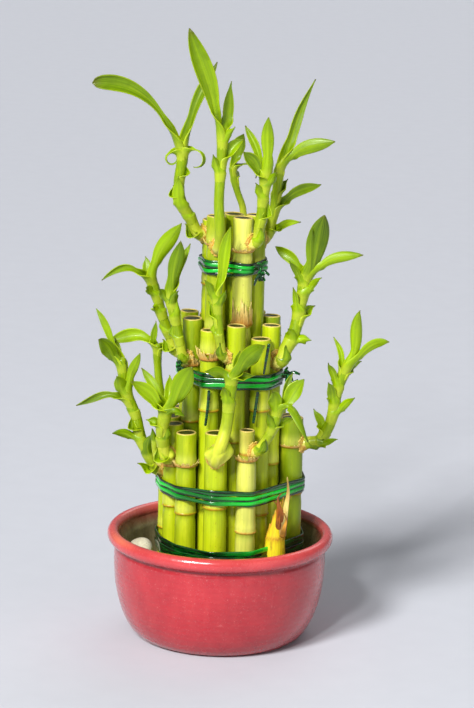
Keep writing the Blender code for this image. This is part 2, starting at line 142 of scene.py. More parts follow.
def piece(name, patches, material, nodes, wall=0):
    """One object made of patches, with its colours in the attribute tint and its grain in grain."""
    starts = np.cumsum([0] + [len(part[0]) for part in patches[:-1]])
    points, _, tint, grain = (np.concatenate(parts) for parts in zip(*patches))
    cells = np.concatenate([part[1] + start for part, start in zip(patches, starts)])
    used, places = np.unique(cells, return_inverse=True)
    places = places.reshape(-1, 4)
    first_pole = places[:, 0] == places[:, 1]
    last_pole = places[:, 2] == places[:, 3]
    faces = places[~first_pole & ~last_pole].tolist()
    faces += places[first_pole & ~last_pole][:, [0, 2, 3]].tolist()
    faces += places[last_pole & ~first_pole][:, :3].tolist()
    mesh = bpy.data.meshes.new(name)
    mesh.from_pydata(points[used], [], faces)
    mesh.shade_smooth()
    colour = np.concatenate([tint[used], np.ones((len(used), 1))], axis=1)
    mesh.attributes.new("tint", "FLOAT_COLOR", "POINT").data.foreach_set("color", colour.ravel())
    flow = np.concatenate([grain[used], np.zeros((len(used), 1))], axis=1)
    mesh.attributes.new("grain", "FLOAT_VECTOR", "POINT").data.foreach_set("vector", flow.ravel())
    mesh.materials.append(material)
    made = bpy.data.objects.new(name, mesh)
    bpy.context.scene.collection.objects.link(made)
    if wall:
        solid = made.modifiers.new("wall", "SOLIDIFY")
        solid.thickness = wall
        solid.offset = 0
    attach(made, "root")
    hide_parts(*nodes)


def attribute(tree, name, output):
    """A mesh attribute, read in a material."""
    place = tree.nodes.new("ShaderNodeAttribute")
    place.attribute_name = name
    return place.outputs[output]


def new_finish(name, roughness, coat=0.0, shine=0.5):
    """A material. Returns it, its node tree and the attribute tint, which its colour starts from."""
    material = bpy.data.materials.new(name)
    material.use_nodes = True
    tree = material.node_tree
    shader = tree.nodes["Principled BSDF"]
    shader.inputs["Roughness"].default_value = roughness
    shader.inputs["Coat Weight"].default_value = coat
    shader.inputs["Coat Roughness"].default_value = 0.12
    shader.inputs["Specular IOR Level"].default_value = shine
    return material, tree, attribute(tree, "tint", "Color")


def noise(tree, stretch, detail=3.0, grained=False):
    """A noise pattern. Its stretch is how many times it repeats in a metre along X, Y and Z, or, if it is
    grained, along the attribute grain.
    """
    mapping = tree.nodes.new("ShaderNodeMapping")
    mapping.inputs["Scale"].default_value = stretch
    if grained:
        place = attribute(tree, "grain", "Vector")
    else:
        place = tree.nodes.new("ShaderNodeTexCoord").outputs["Object"]
    tree.links.new(place, mapping.inputs["Vector"])
    pattern = tree.nodes.new("ShaderNodeTexNoise")
    pattern.inputs["Scale"].default_value = 1
    pattern.inputs["Detail"].default_value = detail
    pattern.inputs["Roughness"].default_value = 0.55
    tree.links.new(mapping.outputs["Vector"], pattern.inputs["Vector"])
    return pattern.outputs["Fac"]


def spread(tree, value, *limits):
    """The value's range between the first two limits, turned into that between the others and held there."""
    remap = tree.nodes.new("ShaderNodeMapRange")
    tree.links.new(value, remap.inputs["Value"])
    for name, number in zip(("From Min", "From Max", "To Min", "To Max"), limits):
        remap.inputs[name].default_value = number
    return remap.outputs["Result"]


def layered(tree, base, over, share):
    """The colour base with the colour over laid on it by a pattern."""
    mix = tree.nodes.new("ShaderNodeMix")
    mix.data_type = "RGBA"
    for socket, value in ((mix.inputs["Factor"], share), (mix.inputs[6], base), (mix.inputs[7], over)):
        if isinstance(value, bpy.types.NodeSocket):
            tree.links.new(value, socket)
        else:
            socket.default_value = (*display(value), 1)
    return mix.outputs[2]


def mottled(tree, base, over, stretch, low, high, most, **kind):
    """The colour base with the colour over laid on it by noise: none of it where the noise is under low, and
    the most where it is above high.
    """
    return layered(tree, base, over, spread(tree, noise(tree, stretch, **kind), low, high, 0.0, most))


def marked(tree, base, over):
    """The colour base with the colour over laid on it by the first number of the attribute grain."""
    parts = tree.nodes.new("ShaderNodeSeparateXYZ")
    tree.links.new(attribute(tree, "grain", "Vector"), parts.inputs["Vector"])
    return layered(tree, base, over, parts.outputs["X"])


def covered(tree, skin, *gloss):
    """Gives the shader its colour. Gloss is a stretch of noise, and the least and most roughness it gives."""
    shader = tree.nodes["Principled BSDF"]
    tree.links.new(skin, shader.inputs["Base Color"])
    if gloss:
        stretch, smooth, rough = gloss
        roughness = spread(tree, noise(tree, stretch), 0.3, 0.7, smooth, rough)
        tree.links.new(roughness, shader.inputs["Roughness"])


def raised(tree, stretch, depth, strength, under=None, **kind):
    """A bump by noise of the given depth in metres, on top of another bump if one is given."""
    bump = tree.nodes.new("ShaderNodeBump")
    bump.inputs["Strength"].default_value = strength
    bump.inputs["Distance"].default_value = depth
    tree.links.new(noise(tree, stretch, **kind), bump.inputs["Height"])
    if under:
        tree.links.new(under, bump.inputs["Normal"])
    tree.links.new(bump.outputs["Normal"], tree.nodes["Principled BSDF"].inputs["Normal"])
    return bump.outputs["Normal"]


def wall_radius(height, low, high, base, full, power):
    """Radius of a wall that swells from base at height low to full at height high along a quarter ellipse."""
    share = np.clip((height - low) / (high - low), 0, 1)
    return base + (full - base) * (1 - (1 - share) ** 2) ** power


def bowl_profile():
    """The bowl's section from the middle of its foot, up the outer wall, over the lip and down to its inner
    floor. Returns radius and height, and which of the points are inside the bowl.
    """
    under = np.linspace(0, FOOT_RADIUS - 1, 6)
    foot_edge = np.radians(np.linspace(90, 10, 6))
    outer_heights = 1.2 + (WALL_TOP - 1.2) * np.linspace(0, 1, 60) ** 1.15
    outer = wall_radius(outer_heights, 0, BELLY_HEIGHT, FOOT_RADIUS, BELLY_RADIUS, 0.57)
    outer -= 0.7 * bell(outer_heights, 49.2, 1.3)
    turn = np.radians(np.linspace(-62, 205, 40))
    lip = LIP_RADIUS + LIP_HALF_WIDTH * np.cos(turn)
    lip_heights = LIP_HEIGHT + LIP_HALF_HEIGHT * np.sin(turn)
    inner_heights = FLOOR_HEIGHT + (INNER_TOP - FLOOR_HEIGHT) * np.linspace(1, 0, 34) ** 1.6
    inner = wall_radius(inner_heights, FLOOR_HEIGHT, INNER_HEIGHT, FLOOR_RADIUS, INNER_RADIUS, 0.55)
    floor = np.linspace(FLOOR_RADIUS * 0.985, 0, 8)
    radius = np.concatenate([under, FOOT_RADIUS - 1 + np.cos(foot_edge), outer, lip, inner, floor])
    foot_heights = np.append(0 * under, 1 - np.sin(foot_edge))
    floor_heights = 0 * floor + FLOOR_HEIGHT
    height = np.concatenate([foot_heights, outer_heights, lip_heights, inner_heights, floor_heights])
    outside = len(foot_heights) + len(outer) + LIP_STEPS_OUTSIDE
    return radius, height, np.arange(len(radius)) >= outside


def make_bowl():
    """The section turned round the axis, with shallow throwing ripples on the outer wall."""
    radius, height, inside = bowl_profile()
    turn = full_turn(192)
    ripple = 0.05 * np.sin(height * 1.9) * ~inside * (height < 48) * (height > 2)
    ring = (radius + ripple)[:, None] * (1 + 0.0012 * np.sin(3 * turn + 1))
    height, inside = height[:, None], inside[:, None]
    points = spun(ring, turn, height)
    thin_glaze_and_highlight = 0.12 + 0.88 * bell(turn, LIP_HIGHLIGHT_AT, 0.22)
    colour = painted(
        points,
        GLAZE_RED,
        # Painted shade: a darker band under the lip, on the outside.
        (GLAZE_DEEP_AND_SHADE, 0.6 * bell(height, 49, 1.8) * (ring > 55) * ~inside),
        # Painted shade: the glaze painted darker towards the foot.
        (GLAZE_DEEP_AND_SHADE, 0.5 * eased(-height, -18, 0)),
        (GLAZE_PALE, 0.55 * eased(height, 50.5, 53.5)),
        # The lip's top: thin glaze all round, painted much paler at the front left as a highlight.
        (GLAZE_THIN_AND_HIGHLIGHT, 0.75 * eased(height, 54, 57.2) * thin_glaze_and_highlight),
    )
    stained = 0.92 * inside * (1 - 0.8 * eased(height, 50 + 2 * np.sin(2 * turn), 56))

    material, tree, tint = new_finish("red_glaze", 0.22, coat=0.5)
    glaze = mottled(tree, tint, GLAZE_DEEP_AND_SHADE, (45, 45, 60), 0.35, 0.7, 0.35)
    glaze = mottled(tree, glaze, GLAZE_RUN, (200, 200, 40), 0.45, 0.75, 0.14)
    glaze = mottled(tree, glaze, GLAZE_FLECK, (1300, 1300, 1300), 0.69, 0.74, 0.4, detail=1.0)
    limescale = mottled(tree, STAIN, STAIN_DARK, (90, 90, 30), 0.35, 0.7, 1.0)
    covered(tree, marked(tree, glaze, limescale), (120, 120, 120), 0.16, 0.34)
    peel = raised(tree, (420, 420, 420), 0.00025, 0.35)
    raised(tree, (60, 60, 90), 0.0006, 0.35, under=peel)
    marks = np.stack([stained, 0 * stained], axis=-1)
    piece("glazed_bowl", [patch(points, colour, grain=marks)], material, ["bowl"])


make_bowl()


# --- The pebbles ----------------------------------------------------------------------------------
# Three cream river pebbles wedged between the stalks and the wall of the bowl, one on top of another. They
# are loose, and the lower two only show from above.

PEBBLE_GRAIN = (150, 132, 98)
PEBBLE_FRECKLE = (120, 98, 66)
PEBBLES = {"pebble_top": (226, 218, 190), "pebble_middle": (196, 184, 150), "pebble_bottom": (170, 158, 128)}


def pebble_patch(node, colour, seed):
    """A squared-off ellipsoid in the node's box, with broad dents that are sums of sines over its surface."""
    low, high = (np.array(corner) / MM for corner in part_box(node))
    tilt = np.linspace(-np.pi / 2, np.pi / 2, 33)[:, None]
    rounded = spun(np.cos(tilt), full_turn(48), np.sin(tilt))
    form = np.sign(rounded) * np.abs(rounded) ** 0.88
    x, y, z = form[..., 0], form[..., 1], form[..., 2]
    dents = 1 + 0.03 * np.sin(2.3 * x + seed) * np.cos(3.1 * y - seed)
    dents += 0.015 * np.sin(5 * z + 4 * x + 2 * seed)
    points = (low + high) / 2 + form * (high - low) / 2 * 0.96 * dents[..., None]
    return patch(points, painted(points, colour, (np.array(colour) * 0.82, 0.7 * wave(3 * x + 2 * z + seed))))


def pebble_finish():
    """Smooth stone: fine grain, darker freckles and a soft bump."""
    material, tree, tint = new_finish("river_stone", 0.5)
    stone = mottled(tree, tint, PEBBLE_GRAIN, (700, 700, 700), 0.35, 0.7, 0.35)
    stone = mottled(tree, stone, PEBBLE_FRECKLE, (2200, 2200, 2200), 0.62, 0.7, 0.5, detail=1.0)
    covered(tree, stone)
    raised(tree, (500, 500, 500), 0.0003, 0.4)
    return material


stone = pebble_finish()
for seed, (node, colour) in enumerate(PEBBLES.items(), 1):
    piece(f"{node}_stone", [pebble_patch(node, colour, seed)], stone, [node])


# --- The stalks -----------------------------------------------------------------------------------
# Thirty cut canes of ribbon dracaena, the plant sold as lucky bamboo, stood upright in three tiers. Each has
# rings where old leaves grew, a papery remnant at some rings, and a top sealed with dark green wax inside a
# pale rim.

LIME = (190, 206, 12)
YELLOW = (214, 212, 24)
CREAM = (236, 232, 112)
OLIVE = (140, 164, 10)
DEEP_GREEN = (78, 108, 6)
STRAW = (236, 212, 14)
RING_TAN = (186, 118, 30)
HUSK_CREAM = (236, 214, 122)
HUSK_BROWN = (138, 86, 20)
WAX_GREEN = (8, 40, 8)
NECK_OLIVE = (158, 142, 40)
STREAK_GREEN = (120, 140, 24)
STREAK_YELLOW = (236, 236, 50)
SPECK_BROWN = (150, 104, 44)
FIBRE_BROWN = (116, 82, 14)
RIM_CREAM = (226, 196, 112)
DISH_SIZES = np.array([0.82, 0.76, 0.5, 0.25, 0])  # the dish of wax: each ring's share of the cane's radius
DISH_DEPTHS = np.array([0.3, 0.7, 0.9, 1, 1])
RIM_ROWS = 9  # the rows of points, from the middle of the dish, that are the rim's cut wood or the wax
WAX_ROWS = 4
NECKED = {"outer_stalk_5": (101, 107, 4.0)}  # where a cane starts and stops narrowing, and its radius above

# Node rings by height in millimetres, then the cane's colour
STALKS = {
    "outer_stalk_1": ((92, 58), LIME),
    "outer_stalk_2": ((74,), LIME),
    "outer_stalk_3": ((98.7, 72.8), LIME),
    "outer_stalk_4": ((78.6,), LIME),
    "outer_stalk_5": ((66, 108), CREAM),
    "torn_stub": ((62,), STRAW),
    "outer_stalk_6": ((105.6, 79.8), OLIVE),
    "outer_stalk_7": ((80,), OLIVE),
    "outer_stalk_8": ((100, 70), LIME),
    "outer_stalk_9": ((88,), LIME),
    "outer_stalk_10": ((76, 106), YELLOW),
    "outer_stalk_11": ((90,), LIME),
    "outer_stalk_12": ((84, 60), OLIVE),
    "middle_stalk_1": ((118, 80), OLIVE),
    "middle_stalk_2": ((127.6, 158), LIME),
    "middle_stalk_3": ((150, 112), LIME),
    "middle_stalk_4": ((72, 128), LIME),
    "middle_stalk_5": ((97, 152), LIME),
    "middle_stalk_6": ((120, 162), OLIVE),
    "middle_stalk_7": ((132,), LIME),
    "middle_stalk_8": ((118, 158), LIME),
    "middle_stalk_9": ((126,), LIME),
    "middle_stalk_10": ((140, 102), LIME),
    "inner_stalk_1": ((190, 140), LIME),
    "inner_stalk_2": ((213.4, 168), LIME),
    "inner_stalk_3": ((205,), LIME),
    "inner_stalk_4": ((210.7, 171), CREAM),
    "inner_stalk_5": ((201,), LIME),
    "inner_stalk_6": ((184,), LIME),
    "inner_stalk_7": ((178,), OLIVE),
}


def stalk_axis(node):
    """Foot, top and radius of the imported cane: the middles of the rings of points at its two ends."""
    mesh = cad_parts[node].data
    points = np.zeros(len(mesh.vertices) * 3)
    mesh.vertices.foreach_get("co", points)
    points = points.reshape(-1, 3) / MM
    low, high = points[:, 2].min(), points[:, 2].max()
    foot = points[points[:, 2] < low + 1.5]
    rim = points[points[:, 2] > high - 3]
    middle = (foot.min(axis=0) + foot.max(axis=0)) / 2
    end = (rim.min(axis=0) + rim.max(axis=0)) / 2
    return np.array([*middle[:2], low]), np.array([*end[:2], high]), np.ptp(foot[:, 0]) / 2


def stalk_patch(node, rings, tone, number):
    """A cane: at each height a slightly oval circle round its axis. Each ring adds a narrow raised band, a
    slow swelling above it and a waist below. The top is a rounded rim round a shallow dish of wax, and is cut
    a little askew.
    """
    draw = np.random.default_rng(number)
    foot, top, radius = stalk_axis(node)
    length = top[2] - foot[2]
    near_rings = np.concatenate([ring - foot[2] + np.linspace(-4, 4, 21) for ring in rings])
    heights = np.unique(np.concatenate([np.linspace(0, length - 1, 56), near_rings]).round(2))
    heights = heights[(heights >= 0) & (heights <= length - 1)]
    size = np.full(len(heights), radius * 0.965)
    ringed = np.zeros(len(heights))
    for ring in rings:
        away = heights - (ring - foot[2])
        size += 0.55 * bell(away, 0, 0.55) + 0.25 * bell(away, 2.6, 2.2) - 0.3 * bell(away, -2.2, 1.8)
        ringed += np.exp(-((away / 0.7) ** 4))
    size += 0.15 * np.sin(heights / 21 + draw.uniform(0, 6)) + 0.3 * np.exp(-heights / 6)
    # A cane that isn't necked would only narrow above its top
    start, stop, neck = NECKED.get(node, (length * 2, length * 3, radius))
    size += (neck - size) * eased(heights + foot[2], start, stop)
    edge = np.radians(np.linspace(20, 90, 5))
    rim_size = size[-1] - 0.7 + 0.7 * np.cos(edge)
    size = np.concatenate([[0], size, rim_size, DISH_SIZES * size[-1]])[:, None]
    levels = np.concatenate([[0], heights, length - 0.9 + 0.8 * np.sin(edge), length - DISH_DEPTHS])[:, None]
    ringed = np.concatenate([[0], ringed, 0 * edge, 0 * DISH_SIZES])[:, None]
    turn = full_turn(48)
    phase = draw.uniform(0, np.pi)
    oval = 1 + 0.022 * np.cos(2 * (turn - phase)) + 0.006 * np.cos(5 * turn + phase)
    reach = size * oval + 0.12 * np.sin(3 * turn + levels / 9 + phase) * ringed
    askew = 0.035 * draw.uniform(-1, 1, 2)
    slope = askew[0] * np.cos(turn) + askew[1] * np.sin(turn)
    level = np.clip(levels + eased(levels, length - 6, length) * reach * slope, 0, length)
    points = foot + (top - foot) / length * level[..., None] + spun(reach, turn, 0)

    height = levels / length
    coats = [
        (OLIVE, 0.22 * wave(levels / 13 + 2 * np.sin(turn + phase) + phase)),
        # Two broad dark green stripes round each cane: partly the cane's own streaking, partly painted shade.
        (DEEP_GREEN, 0.34 * wave(2 * turn + phase + 0.5 * np.sin(levels / 17)) ** 2),
        (YELLOW, 0.45 * (1 - eased(height, 0.15, 0.6)), 1.05),
        (OLIVE, 0.4 * eased(height, 0.55, 0.95) * wave(2 * turn + phase)),
        (NECK_OLIVE, eased(levels + foot[2], start, stop) * (0.5 + 0.2 * np.sin(3 * turn))),
    ]
    for ring in rings:
        above = levels - (ring - foot[2])
        coats.append((CREAM, 0.4 * eased(above, 0.6, 1.4) * (1 - eased(above, 2.5, 8))))
        coats.append((OLIVE, 0.5 * eased(above, -6, -1) * (above < 0), 0.8))
    patchy = 0.75 + 0.25 * np.sin(5 * turn + phase) * np.sin(11 * turn)
    rows_to_go = np.arange(len(levels), 0, -1)[:, None]
    in_rim = (rows_to_go <= RIM_ROWS) & (reach > 0)
    coats.append((RING_TAN, 0.95 * ringed * patchy))
    coats.append((RIM_CREAM, 0.85 * in_rim))
    coats.append((WAX_GREEN, rows_to_go <= WAX_ROWS))
    colour = painted(points, np.array(tone) * draw.uniform(0.94, 1.04), *coats)
    bare = np.clip(0.9 * in_rim + 0.8 * ringed, 0, 1)
    return patch(points, colour, grain=np.stack([bare, 0 * bare], axis=-1))


def cane_finish():
    """Smooth waxy skin with fine upright streaks, a few brown specks and faint ridges. Where the attribute
    grain marks cut wood or dry husk, it has short fibres instead.
    """
    material, tree, tint = new_finish("cane_skin", 0.34, coat=0.05, shine=0.3)
    skin = mottled(tree, tint, STREAK_GREEN, (900, 900, 22), 0.35, 0.72, 0.38)
    skin = mottled(tree, skin, STREAK_YELLOW, (240, 240, 60), 0.5, 0.75, 0.35)
    skin = mottled(tree, skin, SPECK_BROWN, (1600, 1600, 700), 0.7, 0.76, 0.55, detail=1.0)
    fibres = mottled(tree, tint, FIBRE_BROWN, (1300, 1300, 500), 0.4, 0.7, 0.3)
    covered(tree, marked(tree, skin, fibres), (300, 300, 90), 0.28, 0.48)
    raised(tree, (1400, 1400, 30), 0.0002, 0.35)
    return material


def frayed(turn, draw, *sines):
    """An uneven edge round a ring: 0.55 and a sum of sines that start at random places. Each is given as how
    many waves it has and its height.
    """
    return 0.55 + sum(height * np.sin(waves * turn + draw.uniform(0, 6)) for waves, height in sines)


def husk_patch(node, height, tall, flare, heading, half_angle, number):
    """The papery rest of a leaf base round a cane: a thin ring whose upper edge is torn. It is tall within
    the half angle of its heading and low elsewhere, and stands out by the square of its height.
    """
    draw = np.random.default_rng(300 + number)
    foot, top, radius = stalk_axis(node)
    turn = full_turn(120)
    up = np.linspace(0, 1, 8)[:, None]
    torn = frayed(turn, draw, (6, 0.18), (15, 0.16), (31, 0.14))
    off = np.abs((turn - np.radians(heading) + np.pi) % (2 * np.pi) - np.pi)
    torn = torn * (0.12 + 0.88 * (1 - eased(off, np.radians(half_angle) * 0.8, np.radians(half_angle) * 1.2)))
    outer = radius + 0.35 + flare * up**2 * (0.4 + torn) + 0.12 * np.sin(24 * turn + 5 * up) * up
    reach = np.concatenate([outer, (outer - 0.28)[::-1]])
    share = np.concatenate([up, up[::-1]])
    z = height + tall * share * torn
    points = foot + (top - foot) / (top[2] - foot[2]) * (z - foot[2])[..., None] + spun(reach, turn, 0)
    creamy = (HUSK_CREAM, share * (0.5 + 0.9 * torn))
    colour = painted(points, RING_TAN, creamy, (HUSK_BROWN, 0.5 * eased(share, 0.85, 1) * (1 - torn)))
    return patch(points, colour, grain=np.ones((*z.shape, 2)), loop=True)


# Each husk's cane, height, how tall it is, how far it flares, the heading of its tall side and half its angle
HUSKS = (
    ("inner_stalk_4", 171.5, 17, 0.4, -85, 62),
    ("inner_stalk_4", 210.2, 3.2, 0.9, -60, 100),
    ("inner_stalk_2", 212.8, 3.4, 1.0, -105, 90),
    ("inner_stalk_1", 212, 4.5, 1.2, -150, 90),
    ("middle_stalk_1", 148, 8, 1.6, -120, 120),
    ("middle_stalk_2", 154.5, 7, 1.5, -90, 150),
    ("middle_stalk_5", 150, 5.5, 1.4, -70, 110),
    ("middle_stalk_10", 101, 5.5, 0.8, -120, 120),
    ("outer_stalk_1", 90.5, 5, 1.6, -110, 120),
    ("outer_stalk_2", 95.5, 5, 1.6, -100, 130),
    ("outer_stalk_3", 98.2, 3.6, 1.1, -90, 180),
    ("outer_stalk_5", 104.5, 4.2, 1.3, -60, 120),
    ("outer_stalk_6", 105.2, 2.2, 0.5, -70, 120),
    ("outer_stalk_10", 104, 5, 1.2, 90, 110),
    ("outer_stalk_8", 98, 5, 1.2, 60, 110),
    ("middle_stalk_7", 130, 5, 1.0, 90, 120),
)
skin = cane_finish()
for number, (node, (rings, tone)) in enumerate(STALKS.items(), 1):
    if node != "torn_stub":
        husks = [(*husk, number * 10 + order) for order, husk in enumerate(HUSKS) if husk[0] == node]
        cane = [stalk_patch(node, rings, tone, number), *(husk_patch(*husk) for husk in husks)]
        piece(f"{node}_cane", cane, skin, [node])


# --- The ribbons ----------------------------------------------------------------------------------
# Shiny green florist's ribbon wound several times round each tier and pulled tight, so that it goes straight
# from one cane to the next. The turns lie beside and over each other, and the ends are knotted and hang down.

# The ribbon's own colour is dark green; the bright and mid greens are painted highlights on it.
RIBBON_HIGHLIGHT = (0, 214, 44)
RIBBON_SOFT_HIGHLIGHT = (0, 118, 28)
RIBBON_DARK = (0, 26, 10)
RIBBON_STRIP = (0, 34, 14)  # a dark turn that catches the light at the front right
RIBBON_TAIL = (0, 40, 18)
RIBBON_THREAD_AND_SHEEN = (10, 190, 50)
WINDING_POINTS = 260

# The tier that each winding goes round, and its turns: height, half width and colour. Every second turn lies
# on top of its neighbours. The ribbon is dark green: its bright and mid green turns are painted highlights.
WINDINGS = {
    "base_band": (
        "outer",
        (
            (48.6, 1.7, RIBBON_DARK), (51.2, 1.6, RIBBON_DARK), (53.6, 1.5, RIBBON_DARK),
            (55.4, 1.3, RIBBON_STRIP),
        ),
    ),
    "lower_tie": (
        "outer",
        (
            (81.4, 0.8, RIBBON_DARK), (82.6, 1.0, RIBBON_HIGHLIGHT), (84.2, 0.8, RIBBON_DARK),
            (85.4, 0.9, RIBBON_HIGHLIGHT), (86.8, 1.0, RIBBON_SOFT_HIGHLIGHT), (88, 0.7, RIBBON_DARK),
        ),
    ),
    "middle_tie": (
        "middle",
        (
            (140.8, 0.8, RIBBON_DARK), (142.2, 1.1, RIBBON_HIGHLIGHT), (143.9, 0.9, RIBBON_DARK),
            (145.2, 0.9, RIBBON_HIGHLIGHT), (146.8, 1.0, RIBBON_DARK),
        ),
    ),
    "top_tie": (
        "inner",
        (
            (198.9, 0.9, RIBBON_DARK), (200.3, 0.9, RIBBON_HIGHLIGHT), (201.8, 0.9, RIBBON_DARK),
            (203, 0.9, RIBBON_HIGHLIGHT), (204.4, 0.8, RIBBON_DARK),
        ),
    ),
}
# Points along each winding's knots, and half a knot's width
KNOTS = {
    "middle_tie": (
        (((31.3, -15, 147.5), (33.4, -13.6, 144), (35.5, -14.5, 140)), 2.3),
        (((-22.6, -14.4, 152), (-24, -14.6, 149.4), (-23.2, -15, 146.6)), 1.4),
    ),
    "top_tie": ((((15.4, -15, 204.5), (17.6, -13.8, 200.5), (18.2, -15, 195.5)), 1.9),),
}
# Points along the short cut ends that stick out of the knots
KNOT_ENDS = {
    "middle_tie": (
        ((33, -14.6, 146), (36.4, -15.6, 147.8), (39.6, -15.6, 146.8)),
        ((33.6, -14.4, 143.6), (36.6, -16, 142.6), (38.6, -16.4, 144)),
        ((32.6, -14.6, 146), (31.8, -17, 149), (33, -17.4, 151)),
    ),
    "top_tie": (
        ((16.6, -15, 203), (19, -16.4, 205.4), (20.4, -16.6, 207.4)),
        ((17, -14.8, 200), (20, -16, 200.6), (22, -16, 199)),
        ((17, -15, 199.4), (15, -17.4, 196.4), (14.2, -18, 193.6)),
    ),
}
# Points along the long ends left to hang, and how far each is twisted, in radians
TAILS = {
    "middle_tie": (
        (((-7.5, -25.6, 139.6), (-8, -26.3, 130), (-9, -27, 120.5)), 0.5),
        (((17.8, -25.4, 139.6), (16.8, -26, 131), (15.8, -26.8, 122.5)), -0.4),
        (((22.8, -24.6, 165), (21.6, -25.2, 157), (20.5, -25.2, 148.4)), 0.9),
    ),
}
# The other nodes that each winding's piece stands for
CARRIES = {
    "middle_tie": ("middle_knot", "ribbon_tail_1", "ribbon_tail_2", "ribbon_tail_3"),
    "top_tie": ("top_knot",),
}


def chords(points):
    """How far along a line each of its points is, as the sum of the straight lengths up to it."""
    return np.concatenate([[0], np.cumsum(np.linalg.norm(np.diff(points, axis=0), axis=1))])


def cubic(t, first, last, leave, arrive):
    """The cubic curve from first to last, with the slope leave at its start and arrive at its end."""
    line = first * (1 + 2 * t) * (1 - t) ** 2 + last * t * t * (3 - 2 * t)
    return line + leave * t * (1 - t) ** 2 - arrive * t * t * (1 - t)


def smooth_path(points, segments):
    """Points of a smooth curve through the given ones, evenly spread along their chords: between two of them
    it is the cubic that has the curve's slope at both ends.
    """
    points = np.array(points, float)
    along = chords(points)
    slopes = np.gradient(points, along, axis=0)
    places = np.linspace(0, along[-1], segments + 1)
    k = np.clip(np.searchsorted(along, places, side="right") - 1, 0, len(points) - 2)
    span = (along[k + 1] - along[k])[:, None]
    t = (places[:, None] - along[k][:, None]) / span
    return cubic(t, points[k], points[k + 1], slopes[k] * span, slopes[k + 1] * span)


def unit(vectors):
    """The vectors with their length made 1."""
    return vectors / np.linalg.norm(vectors, axis=-1, keepdims=True)


def frames(path):
    """Along, side and third direction at each point of a path. Side is +Y with its part along the path taken
    out, and the third is square to both.
    """
    along = unit(np.gradient(path, axis=0))
    side = unit(np.array([0, 1, 0]) - along * along[:, 1:2])
    return along, side, np.cross(along, side)


def taller(node, tier):
    """Whether a cane belongs to the tier or rises above it."""
    order = ("outer", "middle", "inner")
    kind = node.split("_")[0]
    return kind in order and order.index(kind) >= order.index(tier)


def pulled_round(tier, height):
    """The tight path round a tier's canes at one height: in every direction it touches the cane that reaches
    furthest, and it is straight between the canes that it touches.
    """
    held = [stalk_axis(node) for node in STALKS if taller(node, tier)]
    feet, tops = (np.array([cane[end] for cane in held]) for end in (0, 1))
    share = (height - feet[:, 2:]) / (tops[:, 2:] - feet[:, 2:])
    centres = feet[:, :2] * (1 - share) + tops[:, :2] * share
    reach = np.array([radius for _, _, radius in held]) + 0.35
    turn = full_turn(720)
    way = np.stack([np.cos(turn), np.sin(turn)], axis=-1)
    furthest = np.argmax(centres @ way.T + reach[:, None], axis=0)
    touch = centres[furthest] + reach[furthest][:, None] * way
    closed = np.vstack([touch, touch[:1]])
    along = chords(closed)
    places = np.linspace(0, along[-1], WINDING_POINTS, endpoint=False)
    return np.stack([np.interp(places, along, closed[:, axis]) for axis in (0, 1)], axis=-1)


def winding_patch(tier, layer, height, half_width, tone, number):
    """One turn of ribbon: a flat oval section carried round the tight path, rising and falling in waves."""
    draw = np.random.default_rng(100 + number)
    path = pulled_round(tier, height)
    ahead = unit(np.roll(path, -3, axis=0) - np.roll(path, 3, axis=0))
    turn = full_turn(len(path))[:, None]
    phase = draw.uniform(0, 6, 3)
    lift = 0.45 * np.sin(2 * turn + phase[0]) + 0.25 * np.sin(5 * turn + phase[1])
    section = full_turn(14)
    flat = 0.42 * np.sign(np.cos(section)) * np.abs(np.cos(section)) ** 0.7
    reach = 0.45 + 0.45 * layer + flat + 0.12 * np.sin(9 * turn + phase[2]) * np.sin(section)
    x = path[:, :1] + ahead[:, 1:] * reach
    y = path[:, 1:] - ahead[:, :1] * reach
    points = np.stack([x, y, height + lift - half_width * np.sin(section)], axis=-1)
    # Painted shade in waves along each turn, and a painted highlight at the front right of the base band's
    # top turn.
    lit = bell(np.arctan2(path[:, 1:], path[:, :1] - 5), -0.95, 0.35) * (tone == RIBBON_STRIP)
    shade = (np.array(tone) * 0.35, wave(3 * turn + phase[1]))
    return patch(points, painted(points, tone, shade, (RIBBON_HIGHLIGHT, lit)), loop=True)


def strip_patch(path, half_width, half_thick, tone, twist=0.0, narrows=0.0):
    """A flat strip: an oval section, wide across and thin through, carried along a path and turned as it
    goes. It may narrow towards its end by the given share.
    """
    along, side, third = frames(path)
    share = np.linspace(0, 1, len(path))[:, None]
    wide_way = np.cos(twist * share) * third + np.sin(twist * share) * side
    thin_way = np.cross(along, wide_way)
    section = full_turn(14)
    taper = np.clip(np.minimum(share, 1 - share) * 40, 0, 1)
    wide = half_width * taper * (1 - narrows * share**1.5) * np.cos(section)
    thin = half_thick * taper * np.sin(section)
    points = path[:, None] + wide[..., None] * wide_way[:, None] + thin[..., None] * thin_way[:, None]
    return patch(points, painted(points, tone, (np.array(tone) * 0.6, wave(9 * share))))


def knot_patches(points, half_width):
    """A knot: two strands coiled round the knot's line, half a turn apart, and a core along it."""
    line = smooth_path(points, 48)
    _, side, third = frames(line)
    share = np.linspace(0, 1, len(line))[:, None]
    made = [strip_patch(line, half_width * 0.62, half_width * 0.5, RIBBON_DARK, twist=2.0)]
    # One strand takes a soft painted highlight; the other strand and the core are the ribbon's dark green.
    for start, tone in ((0, RIBBON_SOFT_HIGHLIGHT), (np.pi, RIBBON_DARK)):
        angle = start + 2.6 * np.pi * share
        coil = np.cos(angle) * side + np.sin(angle) * third
        strand = line + coil * half_width * (0.45 + 0.25 * np.sin(np.pi * share))
        made.append(strip_patch(strand, half_width * 0.55, 0.4, tone, twist=3.0))
    return made


